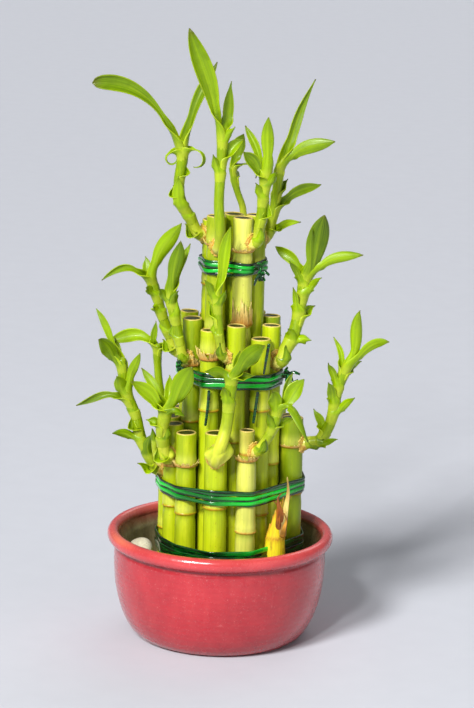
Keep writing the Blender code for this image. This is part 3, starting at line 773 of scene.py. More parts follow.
def ribbon_finish():
    """Shiny woven plastic: fine bright threads along its length, partly painted sheen, and a gloss that
    varies in the creases.
    """
    material, tree, tint = new_finish("green_ribbon", 0.14, coat=0.5)
    sheen = mottled(tree, tint, RIBBON_THREAD_AND_SHEEN, (120, 120, 1500), 0.45, 0.75, 0.3)
    covered(tree, sheen, (400, 400, 900), 0.12, 0.3)
    raised(tree, (160, 160, 1200), 0.0002, 0.2)
    return material


satin = ribbon_finish()
for order, (node, (tier, turns)) in enumerate(WINDINGS.items()):
    made = [winding_patch(tier, number % 2, *turn, order * 10 + number) for number, turn in enumerate(turns)]
    for points in KNOT_ENDS.get(node, ()):
        made.append(strip_patch(smooth_path(points, 30), 0.9, 0.25, RIBBON_DARK, twist=1.1))
    for points, half_width in KNOTS.get(node, ()):
        made += knot_patches(points, half_width)
    for points, twist in TAILS.get(node, ()):
        made.append(strip_patch(smooth_path(points, 60), 0.8, 0.3, RIBBON_TAIL, twist=twist))
    piece(f"{node}_ribbon", made, satin, [node, *CARRIES.get(node, ())])


# --- The torn stub --------------------------------------------------------------------------------
# A short yellowed cane at the front right that has split down one side and dried. Strips of its papery skin
# curl up from the tear, and one lies over the ribbon.

TORN_LOW = 53
TORN_HIGH = 82
STUB_RING = 61
TORN_BROWN = (176, 92, 26)
TORN_AMBER = (226, 160, 60)
DRY_AMBER = (196, 128, 40)
DRY_BURNT = (120, 62, 20)
# Points along each strip of torn skin, half its width, its colour and its twist
TORN_STRIPS = (
    (
        ((32.6, -28.2, 62), (33.4, -29.6, 73), (34.2, -31.2, 80), (35, -31.8, 88), (34.2, -31.6, 96)),
        2.1, HUSK_CREAM, 0.7,
    ),
    (((33.4, -27.4, 66), (34.4, -29, 74), (34.6, -30.6, 80), (36.6, -31, 86)), 1.4, TORN_AMBER, -1.2),
    (((30.4, -28.6, 66), (30, -30.4, 75), (29, -31.2, 81), (27.4, -31.4, 82.5)), 1.5, TORN_BROWN, 1.2),
    (
        ((31.6, -29, 70), (31.2, -31.4, 77), (30.2, -33, 81), (30, -32.4, 85), (31.8, -31.6, 87)),
        1.9, TORN_BROWN, -1.0,
    ),
    (((32.6, -28.8, 62), (33.6, -31, 68), (34.4, -32.4, 73), (33, -33.6, 77)), 1.4, TORN_AMBER, 1.4),
)


def dry_finish():
    """Dried skin: brown and cream fibres along its length, dull, with deep upright creases."""
    material, tree, tint = new_finish("dried_skin", 0.6)
    skin = mottled(tree, tint, DRY_AMBER, (1300, 1300, 60), 0.4, 0.7, 0.5)
    skin = mottled(tree, skin, DRY_BURNT, (420, 420, 200), 0.56, 0.72, 0.5)
    covered(tree, skin, (500, 500, 90), 0.45, 0.75)
    raised(tree, (1500, 1500, 60), 0.0004, 0.6)
    return material


def stub_patch(number):
    """A short cane whose wall ends in a tear: its height rises across the cane from left to right, with a
    jagged edge. Inside, the wall goes down again to a fibrous floor.
    """
    draw = np.random.default_rng(number)
    foot, _, radius = stalk_axis("torn_stub")
    turn = full_turn(72)
    jag = 0.9 * np.sin(9 * turn + draw.uniform(0, 6)) + 0.8 * np.sin(17 * turn + draw.uniform(0, 6))
    tear = TORN_LOW + (TORN_HIGH - TORN_LOW) * (0.5 + 0.5 * np.cos(turn + 0.35)) ** 0.55 + jag
    up = np.linspace(0, 1, 50)[:, None]
    z_out = foot[2] + (tear - foot[2]) * up
    z_in = foot[2] + (tear - foot[2]) * np.linspace(1, 0.72, 10)[:, None]
    size = radius * (1.28 - 0.3 * eased(z_out, 50, 74)) + 0.4 * bell(z_out, STUB_RING, 0.6)
    size = size + 0.1 * np.sin(5 * turn + 3 * up)
    inner = size[-1:] - 0.9 * np.sqrt(np.linspace(0.15, 1, 10))[:, None]
    floor = inner[-1:] * np.array([0.6, 0.3, 0])[:, None]
    z = np.concatenate([z_out[:1], z_out, z_in, 0 * floor + z_in[-1:].min()])
    points = spun(np.concatenate([0 * size[:1], size, inner, floor]), turn, z) + np.array([*foot[:2], 0])
    inside = (np.arange(len(z)) >= len(z) - 10)[:, None]
    near_tear = np.concatenate([0 * z_out[:1], eased(z_out - tear, -3.2, -0.3), 1 + 0 * inner, 1 + 0 * floor])
    streak = wave(19 * turn + z / 7)
    colour = painted(
        points,
        STRAW,
        (YELLOW, 0.4 * streak),
        (RING_TAN, 0.9 * bell(z, STUB_RING, 0.7) * ~inside),
        (TORN_BROWN, near_tear * (0.5 + 0.5 * streak)),
        (HUSK_CREAM, 0.7 * inside * streak),
    )
    return patch(points, colour)


stub = [stub_patch(77)]
for line, half_width, tone, twist in TORN_STRIPS:
    stub.append(strip_patch(smooth_path(line, 36), half_width, 0.28, tone, twist=twist, narrows=0.85))
piece("torn_stub_cane", stub, dry_finish(), ["torn_stub"])


# --- The shoots -----------------------------------------------------------------------------------
# Side shoots that broke from the canes after they were cut. Each is a soft stem wrapped in the sheaths of its
# own leaves, with a swollen foot, a frayed tan collar where it split the cane's skin, and a tuft of leaves.

# The cane that each grows from, points up the stem, radius at its foot and tip, and its leaves. A leaf is its
# place on the stem (0 foot, 1 tip), heading, rise, length and width, then as needed how far it arches, the
# heading its face looks to, its widest place and how many degrees it curls through.
SHOOTS = {
    "crown_shoot_left": (
        "inner_stalk_1",
        (
            (-15.4, 0, 216), (-20, -3, 226), (-24.5, -6, 234), (-26, -6, 245), (-24.5, -5, 258),
            (-25, -5, 266),
        ),
        3.4, 2.8,
        (
            (0.9, -165, 37, 60, 8.5, 0.36, -80, 0.75), (0.95, 28, 66, 47, 6, 0.1, -110, 0.5),
            (0.86, 190, 62, 17, 2.6, 0.35, -60, 0.4, -350), (0.88, -20, 62, 20, 2.8, 0.45, -100, 0.6, -250),
            (0.4, -112, 66, 19, 6),
        ),
    ),
    "crown_shoot_front": (
        "inner_stalk_2",
        ((-3.6, -19.5, 212), (-4, -20.5, 222), (-5, -19.5, 236), (-4.5, -16.5, 255), (-4, -15, 272)),
        3.2, 2.7,
        (
            (0.95, -155, 71, 61, 10.5, -0.1, -80, 0.6), (1, 48, 78, 27, 5.2, 0, -90, 0.35),
            (0.78, 19, 44, 17, 6.5, 0.1, -110), (0.69, -125, 58, 13, 3), (0.93, -36, 49, 12, 3.4, 0, -60),
        ),
    ),
    "crown_shoot_back": (
        "inner_stalk_6",
        ((7.5, 10.8, 221), (7.4, 10.8, 228), (4, 11.5, 238), (1, 12.5, 250)),
        2.1, 1.8,
        (
            (0.98, 15, 72, 19, 7, 0.1, -80, 0.5), (0.94, 10, 62, 17, 3.2, 0.2, -90, 0.5, -170),
            (0.8, 75, 10, 9, 3.6, 0.2, -60),
        ),
    ),
    "crown_shoot_right": (
        "inner_stalk_4",
        ((14.3, -14.5, 215), (16, -15, 224), (17.5, -14, 237), (19, -13, 253)),
        3, 2.8,
        (
            (0.97, -86, 82, 30, 6.5, -0.04), (0.92, 141, 60, 29, 4.6, 0.05),
            (0.85, -157, 53, 21, 7, 0.12, -70), (0.66, -124, 52, 12, 3.4), (0.8, -50, 45, 13, 3.4, 0.15),
        ),
    ),
    "crown_shoot_far_right": (
        "inner_stalk_5",
        ((18.4, 3, 214), (22.5, 5, 223), (24.5, 7, 238), (26, 8, 253)),
        3, 2.6,
        (
            (0.97, 20, 68, 49, 5.4, 0.05, -70, 0.35), (0.95, -12, 29, 33, 7, 0.1, -80),
            (0.9, 77, 38, 13, 3.4, 0.1), (0.64, 50, 38, 12, 3), (0.45, 26, 25, 30, 5.4, 0.1, -60),
            (0.2, -20, 22, 19, 4, 0.1),
        ),
    ),
    "shoulder_shoot": (
        "middle_stalk_5",
        (
            (29, -13, 153), (31.5, -13.5, 159), (35, -12, 166), (37.5, -10, 175), (39, -8.5, 185),
            (41, -7, 197),
        ),
        3.9, 3.2,
        (
            (0.97, -36, 73, 37, 11, 0.02, -80, 0.55), (0.99, -70, 76, 28, 4.6, 0.02, -70),
            (0.97, -15, 27, 34, 5.4, 0.14, -70), (0.97, 148, 39, 24, 6, 0.12, -100),
            (0.91, -137, 52, 18, 3.4), (0.8, -44, 42, 18, 3.4, 0.1), (0.62, -120, 65, 17, 3),
            (0.57, 41, 25, 13, 3, 0.1), (0.34, -105, 50, 10, 3), (0.33, -23, 9, 12, 3, 0.15),
        ),
    ),
    "low_shoot_right": (
        "outer_stalk_6",
        ((46.5, -5, 106), (51, -6, 109), (55.5, -6, 116), (58, -6, 127), (60, -6, 138), (64, -6, 150)),
        3.4, 2.8,
        (
            (0.97, -34, 77, 33, 6.5, 0.03), (0.96, -26, 36, 30, 5, 0.28, -60),
            (0.92, 126, 61, 20, 3.2, 0.05), (0.77, -127, 57, 18, 4), (0.9, 49, 18, 16, 3.2, 0.1),
            (0.6, -114, 57, 17, 5, 0, -80), (0.5, -35, 41, 18, 4, 0.05), (0.3, 136, 56, 15, 4, 0.05),
            (0.2, -39, 15, 14, 3, 0.05),
        ),
    ),
    "front_shoot_right": (
        "outer_stalk_5",
        ((19.3, -37.5, 110), (22.5, -39.5, 117), (26, -41, 125), (28, -40, 133)),
        3, 2.6,
        (
            (0.96, -113, 62, 15, 7.5, 0.12, -80), (0.98, 9, 52, 22, 8), (0.95, 46, 61, 23, 3.4),
            (0.98, -41, -29, 24, 5, 0.55, -60), (0.7, 35, 13, 15, 3, 0.05), (0.7, -114, 54, 12, 3),
        ),
    ),
    "front_shoot_centre": (
        "outer_stalk_4",
        ((-3, -43.5, 106), (-1.5, -42.8, 112), (1.5, -40.5, 122), (3, -38.5, 135), (4, -37, 149)),
        4, 3,
        (
            (0.96, -152, 25, 17, 6, 0.1), (0.98, 14, 75, 16, 6), (0.98, -33, 47, 29, 9, 0.1),
            (0.96, 10, 15, 13, 3, 0.05), (0.73, -113, 52, 14, 5),
        ),
    ),
    "middle_shoot_front": (
        "middle_stalk_3",
        ((-1.3, -26.2, 157), (-2.3, -27.5, 165), (-3.8, -27.5, 178), (-5, -26, 190)),
        2.6, 2.4,
        (
            (0.98, 8, 80, 37, 6.5), (0.93, -134, 52, 15, 4, 0.05), (0.84, -57, 52, 13, 3.4),
            (0.66, 145, 55, 11, 3.4),
        ),
    ),
    "left_shoot_outer": (
        "middle_stalk_10",
        ((-24.4, 6.5, 152), (-29, 5, 160), (-34, 3, 174), (-37, 1, 185), (-40, -1, 193)),
        3.2, 2.8,
        (
            (0.97, -160, 2, 27, 3.8, 0.45, -60), (0.97, -25, 62, 36, 8, 0.04, -80),
            (0.95, 121, 58, 14, 4.4, 0.05), (0.78, -120, 28, 12, 4.4, 0.15), (0.59, -120, 25, 9, 3, 0.1),
        ),
    ),
    "left_shoot_inner": (
        "middle_stalk_1",
        ((-21.6, -11.8, 152), (-24, -13, 164), (-27, -13.5, 177), (-29.5, -13, 187)),
        3, 2.8,
        (
            (0.98, -45, 76, 31, 8, 0.02), (0.95, 30, 68, 30, 4.4, 0.03), (0.86, -68, 46, 13, 3.4, 0.05),
            (0.9, -140, 43, 11, 4.4, 0.1),
        ),
    ),
    "far_left_shoot": (
        "outer_stalk_1",
        ((-35.6, -4, 90), (-38.5, -6, 98), (-42, -6, 105), (-46, -6, 120), (-51, -6, 132), (-54, -6, 150)),
        3.3, 2.8,
        (
            (0.93, -150, 50, 22, 8.5, 0.12, -80), (0.96, 157, 61, 32, 3.6, 0.2),
            (0.94, 115, 50, 17, 3.4, 0.05), (0.73, -50, 66, 26, 5), (0.72, -124, 51, 15, 6.5, 0.05),
            (0.66, 172, -8, 29, 4, 0.14, -60), (0.34, -153, 18, 18, 5, 0.1), (0.22, -80, 58, 15, 5),
            (0.1, -140, 18, 12, 3.4, 0.05),
        ),
    ),
    "left_front_shoot": (
        "outer_stalk_2",
        ((-28.8, -19, 101), (-31, -23, 110), (-31, -25.5, 120), (-29.5, -27, 129)),
        3.8, 3.2,
        (
            (0.96, -27, 60, 30, 10.5, 0.04), (0.96, 152, 55, 26, 4.4, 0.02),
            (0.9, -158, 46, 27, 7.5, 0.06, -80), (0.98, 84, 53, 20, 5, 0.05),
            (0.93, -46, 6, 15, 4.4, 0.1, -60), (0.68, 160, 21, 10, 3.4, 0.05),
        ),
    ),
    "left_back_shoot": (
        "outer_stalk_12",
        ((-30.5, 15.6, 114), (-34, 16, 129), (-35.5, 16, 141), (-36, 15, 153)),
        2.6, 2.2,
        (
            (0.96, 180, 86, 15, 3.4), (0.92, 20, -10, 18, 5.6, 0.2, -60),
            (0.95, 170, 4, 27, 7.5, 0.24, -60),
        ),
    ),
    "left_bud": (
        "outer_stalk_2",
        ((-32.6, -13, 96), (-35, -14.5, 103), (-35, -16, 111)),
        2.2, 1.6,
        ((0.9, -120, 65, 8, 3),),
    ),
}
# A shield's top above the shoot's root, and how far it drops, reaches aside, stands proud and leans
SHIELDED = {"front_shoot_centre": (9.5, 15.2, 5.4, 8.6, 1.6), "left_front_shoot": (5, 9.5, 3.6, 6.4, 0)}
SMOOTH_STEMS = ("front_shoot_centre", "crown_shoot_front", "crown_shoot_back", "left_back_shoot", "left_bud")
STEM_GREEN = (124, 154, 0)
STEM_PALE = (206, 212, 62)
FOOT_CREAM = (228, 222, 116)
COLLAR_TAN = (184, 112, 24)
COLLAR_CREAM = (234, 200, 104)
LEAF_LIME = (148, 182, 0)
LEAF_MID = (90, 126, 0)
LEAF_DEEP = (32, 54, 0)
LEAF_EDGE = (196, 212, 30)
LEAF_TIP = (70, 62, 16)
STEM_VEIN = (206, 216, 24)
STEM_SHADE = (90, 118, 0)
LEAF_VEIN = (186, 214, 10)
LEAF_SHADE = (66, 94, 0)
STEM_ROWS = 60
SHEATH_ROWS = 9
BLADE_ROWS = 30
LEAF_WALL = 0.4
WRAP_HALF_ANGLE = 2.0  # radians of the stem that a leaf's sheath goes round, each way
BLADE_POWER = 2.25  # how quickly a blade narrows from its widest place to its ends
BRACT_SPACING = 11
SCALE_WIDTH = 3.5  # a leaf narrower and shorter than this is a pointed scale that hugs the stem
SCALE_LENGTH = 13.5


def rooted(stem, node, foot_radius):
    """The stem's points, started inside its cane: from near the cane's axis the stem comes out sideways
    through the skin, then turns up. Also returns the point on the axis where it starts, which way it comes
    out and the cane's radius.
    """
    foot, top, radius = stalk_axis(node)
    first, second = stem[0], stem[1]
    axis = foot[:2] + (top - foot)[:2] * (first[2] - foot[2]) / (top[2] - foot[2])
    out = unit(first[:2] - axis)
    slant = np.sqrt(1 - ((second - first)[:2] @ out / np.linalg.norm(second - first)) ** 2)
    clear = np.array([*(axis + out * (radius + foot_radius * slant * 0.8)), first[2] + 0.8])
    inside = np.array([*(axis + out * (radius - 3)), first[2] - 1.6])
    return np.array([inside, clear, *stem[1:]]), np.array([*axis, first[2] - 0.4]), out, radius


def stem_patch(path, foot, tip, leaves, pale, draw):
    """The stem: circles round its path. Its radius falls from foot to tip and swells a little below each
    leaf. Its colour goes from cream at the foot to green, slowly where its pale foot reaches far up.
    """
    along, side, third = frames(path)
    share = np.linspace(0, 1, len(path))[:, None]
    turn = full_turn(28)[None, :]
    around = np.cos(turn)[..., None] * side[:, None] + np.sin(turn)[..., None] * third[:, None]
    length = chords(path)[-1]
    size = (foot + (tip - foot) * share) * 0.88 * (1 + 0.16 * bell(share * length, 3, 4))
    for place, *_ in leaves:
        size = size + 0.14 * bell((share - place) * length, -3, 3.5)
    size = size + 0.06 * np.cos(9 * turn + 2 * share)
    points = path[:, None] + around * size[..., None]
    spots = wave(3 * turn + 9 * share + draw.uniform(0, 6))
    above_foot = share * length + 1.2 * np.sin(3 * turn + draw.uniform(0, 6)) + 0.6 * np.sin(7 * turn)
    colour = painted(
        points,
        STEM_PALE,
        (STEM_GREEN, eased(share * length, pale, pale * 2 + 14)),
        (FOOT_CREAM, 1 - eased(above_foot, 4, 9)),
        (COLLAR_TAN, 0.85 * (1 - eased(above_foot, 3.2, 5.6)) * (0.4 + 0.6 * spots)),
    )
    root = path[0] + 0 * points[:1]
    end = path[-1] + along[-1] * 1.2 + 0 * points[:1]
    return patch(np.concatenate([root, points, end]), np.concatenate([colour[:1], colour, colour[-1:]]))


def collar_patch(axis, radius, out, foot_radius, draw):
    """The frayed skin round a shoot's foot: a ring bent round the cane that stands a little proud of it, with
    a torn edge.
    """
    turn = full_turn(72)
    torn = frayed(turn, draw, (5, 0.2), (11, 0.16), (23, 0.2)) + 0.14 * np.sin(37 * turn)
    reach = foot_radius * np.array([0.6, 0.9, 1.0, 1.1, 1.2])[:, None]
    reach = reach + 1.3 * torn * np.array([0, 0.2, 0.5, 0.8, 1])[:, None]
    lift = np.array([0.9, 1.0, 0.6, 0.3, 0.45])[:, None] + 0.4 * torn
    proud = np.concatenate([lift, 0 * lift - 0.3])
    reach = np.concatenate([reach, reach[::-1]])
    bearing = np.arctan2(out[1], out[0]) + reach * np.cos(turn) / radius
    points = axis + spun(radius + proud, bearing, 1.0 + reach * np.sin(turn) * 1.05)
    shade = np.array([0, 0.2, 0.5, 0.3, 0.9, 0.9, 0.3, 0.5, 0.2, 0])[:, None] * (0.6 + 0.8 * torn)
    return patch(points[::-1], painted(points, COLLAR_TAN, (COLLAR_CREAM, shade))[::-1], loop=True)


def shield_patch(axis, radius, out, height, drop, half_width, stands, lean):
    """A sheath pressed on the cane like a shield: across it is a low arch with three pleats. It is widest a
    third of the way down, narrows to a drip, and its top leans aside with the stem.
    """
    down = np.linspace(0, 1, 30)[:, None]
    turn = full_turn(48)
    full = (0.62 + 0.38 * eased(down, 0, 0.35)) * (1 - eased(down, 0.3, 1.05) ** 1.1)
    half = half_width * np.sqrt(np.clip(down / 0.04, 0, 1)) * full + 0.05
    across = half * np.cos(turn) + lean * (1 - down)
    pleats = np.cos(9 * np.cos(turn))
    bulge = (0.8 + 0.2 * eased(down, 0, 0.45)) * (1 - down**2.6)
    bulge = bulge * (1 + 0.09 * pleats * eased(down, 0.05, 0.4))
    proud = np.where(np.sin(turn) > 0, stands * np.abs(np.sin(turn)) ** 0.8 * bulge, 0.8 * np.sin(turn))
    bearing = np.arctan2(out[1], out[0]) + across / radius
    reach = radius + proud + 0.3 + 0.7 * bell(down, 0.96, 0.05)
    z = height - drop * down + 1.4 * np.cos(turn - 0.6) * (1 - down) ** 2
    points = axis + spun(reach, bearing, z)
    edge = eased(np.abs(np.cos(turn)), 0.86, 1) * 0.7 + 0.7 * (1 - eased(down, 0.02, 0.07))
    colour = painted(
        points,
        STEM_GREEN,
        (STEM_PALE, eased(down, 0, 0.3)),
        (FOOT_CREAM, 0.8 * eased(down, 0.3, 0.8)),
        # Painted shade: darker green in the troughs of the pleats.
        (STEM_GREEN, 0.45 * (0.5 - 0.5 * pleats) * (1 - 0.6 * down)),
        (COLLAR_CREAM, edge),
        (COLLAR_TAN, eased(down, 0.86, 0.95)),
    )
    return patch(points[::-1], colour[::-1])


def leaf_spine(start, stem_way, first, leaf):
    """The line of a leaf's midrib: a cubic that leaves along the stem and ends in the leaf's own direction. A
    curled leaf's line turns at an even rate through the curl's angle instead, in the upright plane of its
    heading.
    """
    _, heading, rise, length, _, arch, _, _, curl = leaf
    heading, rise = np.radians([heading, rise])
    t = np.linspace(0, 1, BLADE_ROWS)[:, None]
    up = np.array([0, 0, 1])
    level = np.array([np.cos(heading), np.sin(heading), 0])
    if curl:
        angle = rise + np.radians(curl) * t
        return first + np.cumsum(np.cos(angle) * level + np.sin(angle) * up, axis=0) * length / BLADE_ROWS
    way = np.cos(rise) * level + np.sin(rise) * up
    leave = length * (0.45 * (way + 2 * arch * up) + stem_way)
    return cubic(t, first, start + length * way, leave, length * (way - 2 * arch * up) * 0.95)


def leaf_patch(path, stem_ways, radii, leaf, draw):
    """A leaf. Its sheath follows the stem up to its place, and is an arc across with the stem's radius, sunk
    into the stem at its lower end. Then the arc opens out into the blade, whose outline is a power of the
    distance from each end, greatest at its widest place. The midrib is a groove, and the edges ripple.
    """
    place, heading, _, length, width, _, face, widest, curl = leaf
    bearing = np.array([np.cos(np.radians(heading)), np.sin(np.radians(heading)), 0])
    spacing = chords(path)[-1] / STEM_ROWS
    below = np.append((6 if length > 16 else 4.5) * (1 - np.linspace(0, 1, SHEATH_ROWS, endpoint=False)), 0)
    rows = np.clip(place * STEM_ROWS - below / spacing, 0, STEM_ROWS)
    tracks = np.column_stack([path, stem_ways, radii])
    tracks = np.stack([np.interp(rows, range(len(path)), track) for track in tracks.T], axis=-1)
    stem, ways, size = tracks[:, :3], tracks[:, 3:6], tracks[:, 6]
    out = unit(bearing - ways * (ways @ bearing)[:, None])
    sheath_reach = size + 0.45 - 0.13 * below
    sheath = stem + out * sheath_reach[:, None]
    sway = draw.uniform(-0.06, 0.06) * length
    t = np.concatenate([np.zeros(SHEATH_ROWS), np.linspace(0, 1, BLADE_ROWS)])[:, None]
    s = np.linspace(-1, 1, 13)
    spine = np.concatenate([sheath[:-1], leaf_spine(stem[-1], ways[-1], sheath[-1], leaf)])
    sideways = unit(np.cross([*bearing[:2], 0.01], [0, 0, 1]))
    spine = spine + sideways * sway * np.sin(np.pi * t) * t
    along = unit(np.gradient(spine, axis=0))

    opened = eased(t, 0, 0.3)
    face_way = np.array([np.cos(np.radians(face)), np.sin(np.radians(face)), 0.35])
    looks = unit(face_way) * (1 if face_way @ -out[-1] >= -0.3 else -1)
    base_way = -np.concatenate([out[:-1], np.repeat(out[-1:], BLADE_ROWS, axis=0)])
    inward = base_way if curl else unit(base_way * (1 - opened) + looks * opened)
    inward = unit(inward - along * (inward * along).sum(axis=-1, keepdims=True))
    if curl:
        inward = unit(np.cross(sideways, along)) * np.sign(np.cross(sideways, along[0]) @ inward[0])
    across = np.cross(along, inward)
    twist = draw.uniform(-0.45, 0.45) * eased(t, 0.2, 1)
    turned = across * np.cos(twist) + inward * np.sin(twist)
    inward = inward * np.cos(twist) - across * np.sin(twist)

    low_power, high_power = BLADE_POWER * widest, BLADE_POWER * (1 - widest) * 0.9
    outline = (t / widest) ** low_power * ((1 - t) / (1 - widest)) ** high_power
    wrap = np.append(sheath_reach[:-1], np.full(BLADE_ROWS, sheath_reach[-1]))[:, None] * WRAP_HALF_ANGLE
    fold = draw.uniform(0.35, 1.05)
    angle = WRAP_HALF_ANGLE * (1 - eased(t, 0, 0.24)) + fold * eased(t, 0, 0.24)
    half = wrap * (1 - opened) + 0.54 * width * outline * opened
    if width < SCALE_WIDTH and length < SCALE_LENGTH and not curl:
        half = wrap * (1 - t) ** 1.25
        angle = WRAP_HALF_ANGLE * (1 - 0.35 * t)
    half = np.maximum(half, np.where(t < 0.9, 0.42, 0.12))
    phase = draw.uniform(0, 6)
    ripple = 0.035 * width * np.sin(8 * t + phase + 2 * s) * np.abs(s) ** 3 * opened
    groove = -0.045 * width * bell(s, 0, 0.16) * opened * (1 - t)
    bow = half / angle
    points = spine[:, None] + (bow * np.sin(s * angle))[..., None] * turned[:, None]
    points = points + (bow * (1 - np.cos(s * angle)) + ripple + groove)[..., None] * inward[:, None]

    tone = draw.uniform(0, 1)
    colour = painted(
        points,
        LEAF_LIME,
        (LEAF_MID, tone * 0.9 + 0.35 * (t - 0.4)),
        (LEAF_DEEP, 0.75 * max(0.0, tone - 0.55) + 0.3 * eased(t, 0.6, 1)),
        (LEAF_DEEP, 0.25 * wave(9 * s + phase + 1.5 * t)),
        (STEM_GREEN, 0.9 * (1 - eased(t, 0, 0.14))),
        (STEM_PALE, 0.4 * bell(t, 0, 0.05)),
        (LEAF_EDGE, 0.6 * eased(np.abs(s), 0.86, 1) * (1 - 0.6 * t)),
        (LEAF_EDGE, 0.3 * bell(s, 0, 0.1) * (1 - t) * opened),
        (LEAF_TIP, 0.85 * eased(t, draw.uniform(0.86, 0.97), 1)),
    )
    lengthwise = np.linspace(0, length, len(t))[:, None]
    grain = np.stack(np.broadcast_arrays(s * width * 0.5 + 40 * place, lengthwise), axis=-1) * MM
    return patch(points, colour, grain=grain, wrap=False, poles=(False, False))


def stem_finish():
    """Soft green sheaths: upright veins in the colour and in the bump, and a light waxy sheen."""
    material, tree, tint = new_finish("shoot_stem", 0.36, coat=0.05, shine=0.28)
    skin = mottled(tree, tint, STEM_VEIN, (1500, 1500, 60), 0.4, 0.75, 0.3)
    skin = mottled(tree, skin, STEM_SHADE, (220, 220, 120), 0.5, 0.75, 0.4)
    covered(tree, skin, (300, 300, 90), 0.3, 0.48)
    raised(tree, (1700, 1700, 50), 0.0002, 0.4)
    return material


def leaf_finish():
    """Leaf skin: parallel veins that run with the blade, patches of darker green, and a satin gloss."""
    material, tree, tint = new_finish("leaf_skin", 0.32, coat=0.06, shine=0.28)
    skin = mottled(tree, tint, LEAF_VEIN, (2600, 40, 1), 0.4, 0.75, 0.3, grained=True)
    skin = mottled(tree, skin, LEAF_SHADE, (150, 150, 150), 0.5, 0.8, 0.4)
    covered(tree, skin, (260, 260, 260), 0.26, 0.46)
    raised(tree, (3200, 36, 1), 0.0002, 0.5, grained=True)
    return material


def with_bracts(path, ways, leaves, draw):
    """The leaves, and between them short sheath tips on alternate sides, wherever the stem is bare."""
    length = chords(path)[-1]
    side = draw.choice([-1, 1])
    taken = np.array([leaf[0] for leaf in leaves])
    added = []
    for place in np.arange(7, length * 0.94, BRACT_SPACING) / length:
        side = -side
        if np.abs(taken - place).min() * length > 4:
            way = ways[int(place * STEM_ROWS)]
            lean = unit(way + np.array([0.3 * side, draw.uniform(-0.3, 0.1), 0]))
            heading, rise = np.degrees([np.arctan2(lean[1], lean[0]), np.arcsin(lean[2])])
            added.append((place, heading, rise, draw.uniform(7.5, 11), 3, 0.02))
    return [*leaves, *added]


def filled(leaf):
    """A leaf's whole row. A row that is short leaves out, from its end, no curl, a widest place that is lower
    on a short leaf, a face to the front and no arch.
    """
    return *leaf, *(0, -90, 0.52 if leaf[3] > 20 else 0.4, 0)[len(leaf) - 5 :]


stem_skin = stem_finish()
leaf_skin = leaf_finish()
for number, (node, (cane, stem, foot, tip, leaves)) in enumerate(SHOOTS.items(), 1):
    draw = np.random.default_rng(500 + number)
    points, axis, out, radius = rooted(np.array(stem, float), cane, foot)
    path = smooth_path(points, STEM_ROWS)
    ways = unit(np.gradient(path, axis=0))
    if node not in SMOOTH_STEMS:
        leaves = with_bracts(path, ways, leaves, draw)
    pale = 12 if node in SHIELDED else 4
    body = [stem_patch(path, foot, tip, leaves, pale, draw), collar_patch(axis, radius, out, foot, draw)]
    if node in SHIELDED:
        body.append(shield_patch(axis, radius, out, *SHIELDED[node]))
    piece(f"{node}_stem", body, stem_skin, [node])
    radii = 0.9 * (foot + (tip - foot) * np.linspace(0, 1, len(path)))
    tuft = [leaf_patch(path, ways, radii, filled(leaf), draw) for leaf in leaves]
    piece(f"{node}_leaves", tuft, leaf_skin, [node], wall=LEAF_WALL * MM)


# --- The table, the light and the camera ----------------------------------------------------------
# A wide pale matt table to stand on, three soft suns, a small bright lamp for the glints, and a pale room.
# The camera is a long lens a little above the bowl.

TABLE_PALE = (198, 200, 207)
TABLE_FLECK = (180, 182, 190)
TABLE_HALF = 12
ROOM_PALE = (232, 235, 240)
ROOM_STRENGTH = 0.27
LAMP_AIM = (0, 0, 0.15)
CAMERA_DISTANCE = 1.5
CAMERA_RISE = np.radians(13.48)
CAMERA_ROLL = np.radians(1.6)
CAMERA_TARGET = np.array([0.0064, 0, 0.153])
LENS = 145.3


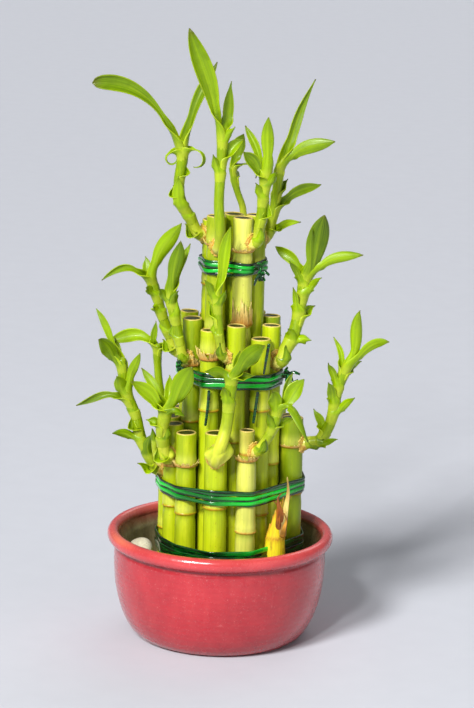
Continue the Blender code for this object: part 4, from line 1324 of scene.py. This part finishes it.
def make_table():
    """A flat square far wider than the view, of pale matt paper with a faint mottle."""
    mesh = bpy.data.meshes.new("pale_table")
    corners = TABLE_HALF * np.array([[-1, -1, 0], [1, -1, 0], [1, 1, 0], [-1, 1, 0]])
    mesh.from_pydata(corners, [], [[0, 1, 2, 3]])
    material = bpy.data.materials.new("pale_paper")
    material.use_nodes = True
    tree = material.node_tree
    tree.nodes["Principled BSDF"].inputs["Roughness"].default_value = 0.85
    covered(tree, mottled(tree, TABLE_PALE, TABLE_FLECK, (60, 60, 60), 0.3, 0.7, 0.12))
    mesh.materials.append(material)
    table = bpy.data.objects.new("pale_table", mesh)
    bpy.context.scene.collection.objects.link(table)


def add_turned(name, data, *columns):
    """An object in the scene. The columns are the ways that its own X, Y and Z look, and its place."""
    made = bpy.data.objects.new(name, data)
    turn = Matrix.Identity(4)
    for column, way in enumerate(columns):
        turn[0][column], turn[1][column], turn[2][column] = way
    made.matrix_world = turn
    bpy.context.scene.collection.objects.link(made)
    return made


def make_lamp(name, kind, place, power, **settings):
    """A lamp of the given kind that faces the middle of the plant."""
    lamp = bpy.data.lights.new(name, kind)
    lamp.energy = power
    for key, value in settings.items():
        setattr(lamp, key, value)
    back = unit(np.array(place) - np.array(LAMP_AIM))
    side = unit(np.cross([0, 0, 1], back))
    add_turned(name, lamp, side, np.cross(back, side), back, place)


def make_camera():
    """A camera at its distance and rise in front of the plant, rolled so that the right side is lower."""
    rise, roll = CAMERA_RISE, CAMERA_ROLL
    ahead = np.array([0, np.cos(rise), -np.sin(rise)])
    level = np.array([1, 0, 0])
    upward = np.cross(level, ahead)
    right = level * np.cos(roll) + upward * np.sin(roll)
    top = -level * np.sin(roll) + upward * np.cos(roll)
    lens = bpy.data.cameras.new("camera")
    lens.lens = LENS
    lens.sensor_width = 36
    lens.clip_start = 0.05
    place = CAMERA_TARGET - CAMERA_DISTANCE * ahead
    bpy.context.scene.camera = add_turned("camera", lens, right, top, -ahead, place)


make_table()
make_lamp("key", "SUN", (-0.75, -1.15, 1.25), 3.5, angle=np.radians(13))
make_lamp("fill", "SUN", (1.2, -1.0, 0.7), 0.35, angle=np.radians(50))
make_lamp("back", "SUN", (0.4, 1.0, 1.3), 0.5, angle=np.radians(40))
make_lamp("glint", "AREA", (-0.3, -1.1, 0.9), 7, size=0.1)
room = bpy.data.worlds.new("pale_room")
room.use_nodes = True
room.node_tree.nodes["Background"].inputs["Color"].default_value = (*display(ROOM_PALE), 1)
room.node_tree.nodes["Background"].inputs["Strength"].default_value = ROOM_STRENGTH
bpy.context.scene.world = room
bpy.context.scene.view_settings.view_transform = "Standard"
make_camera()
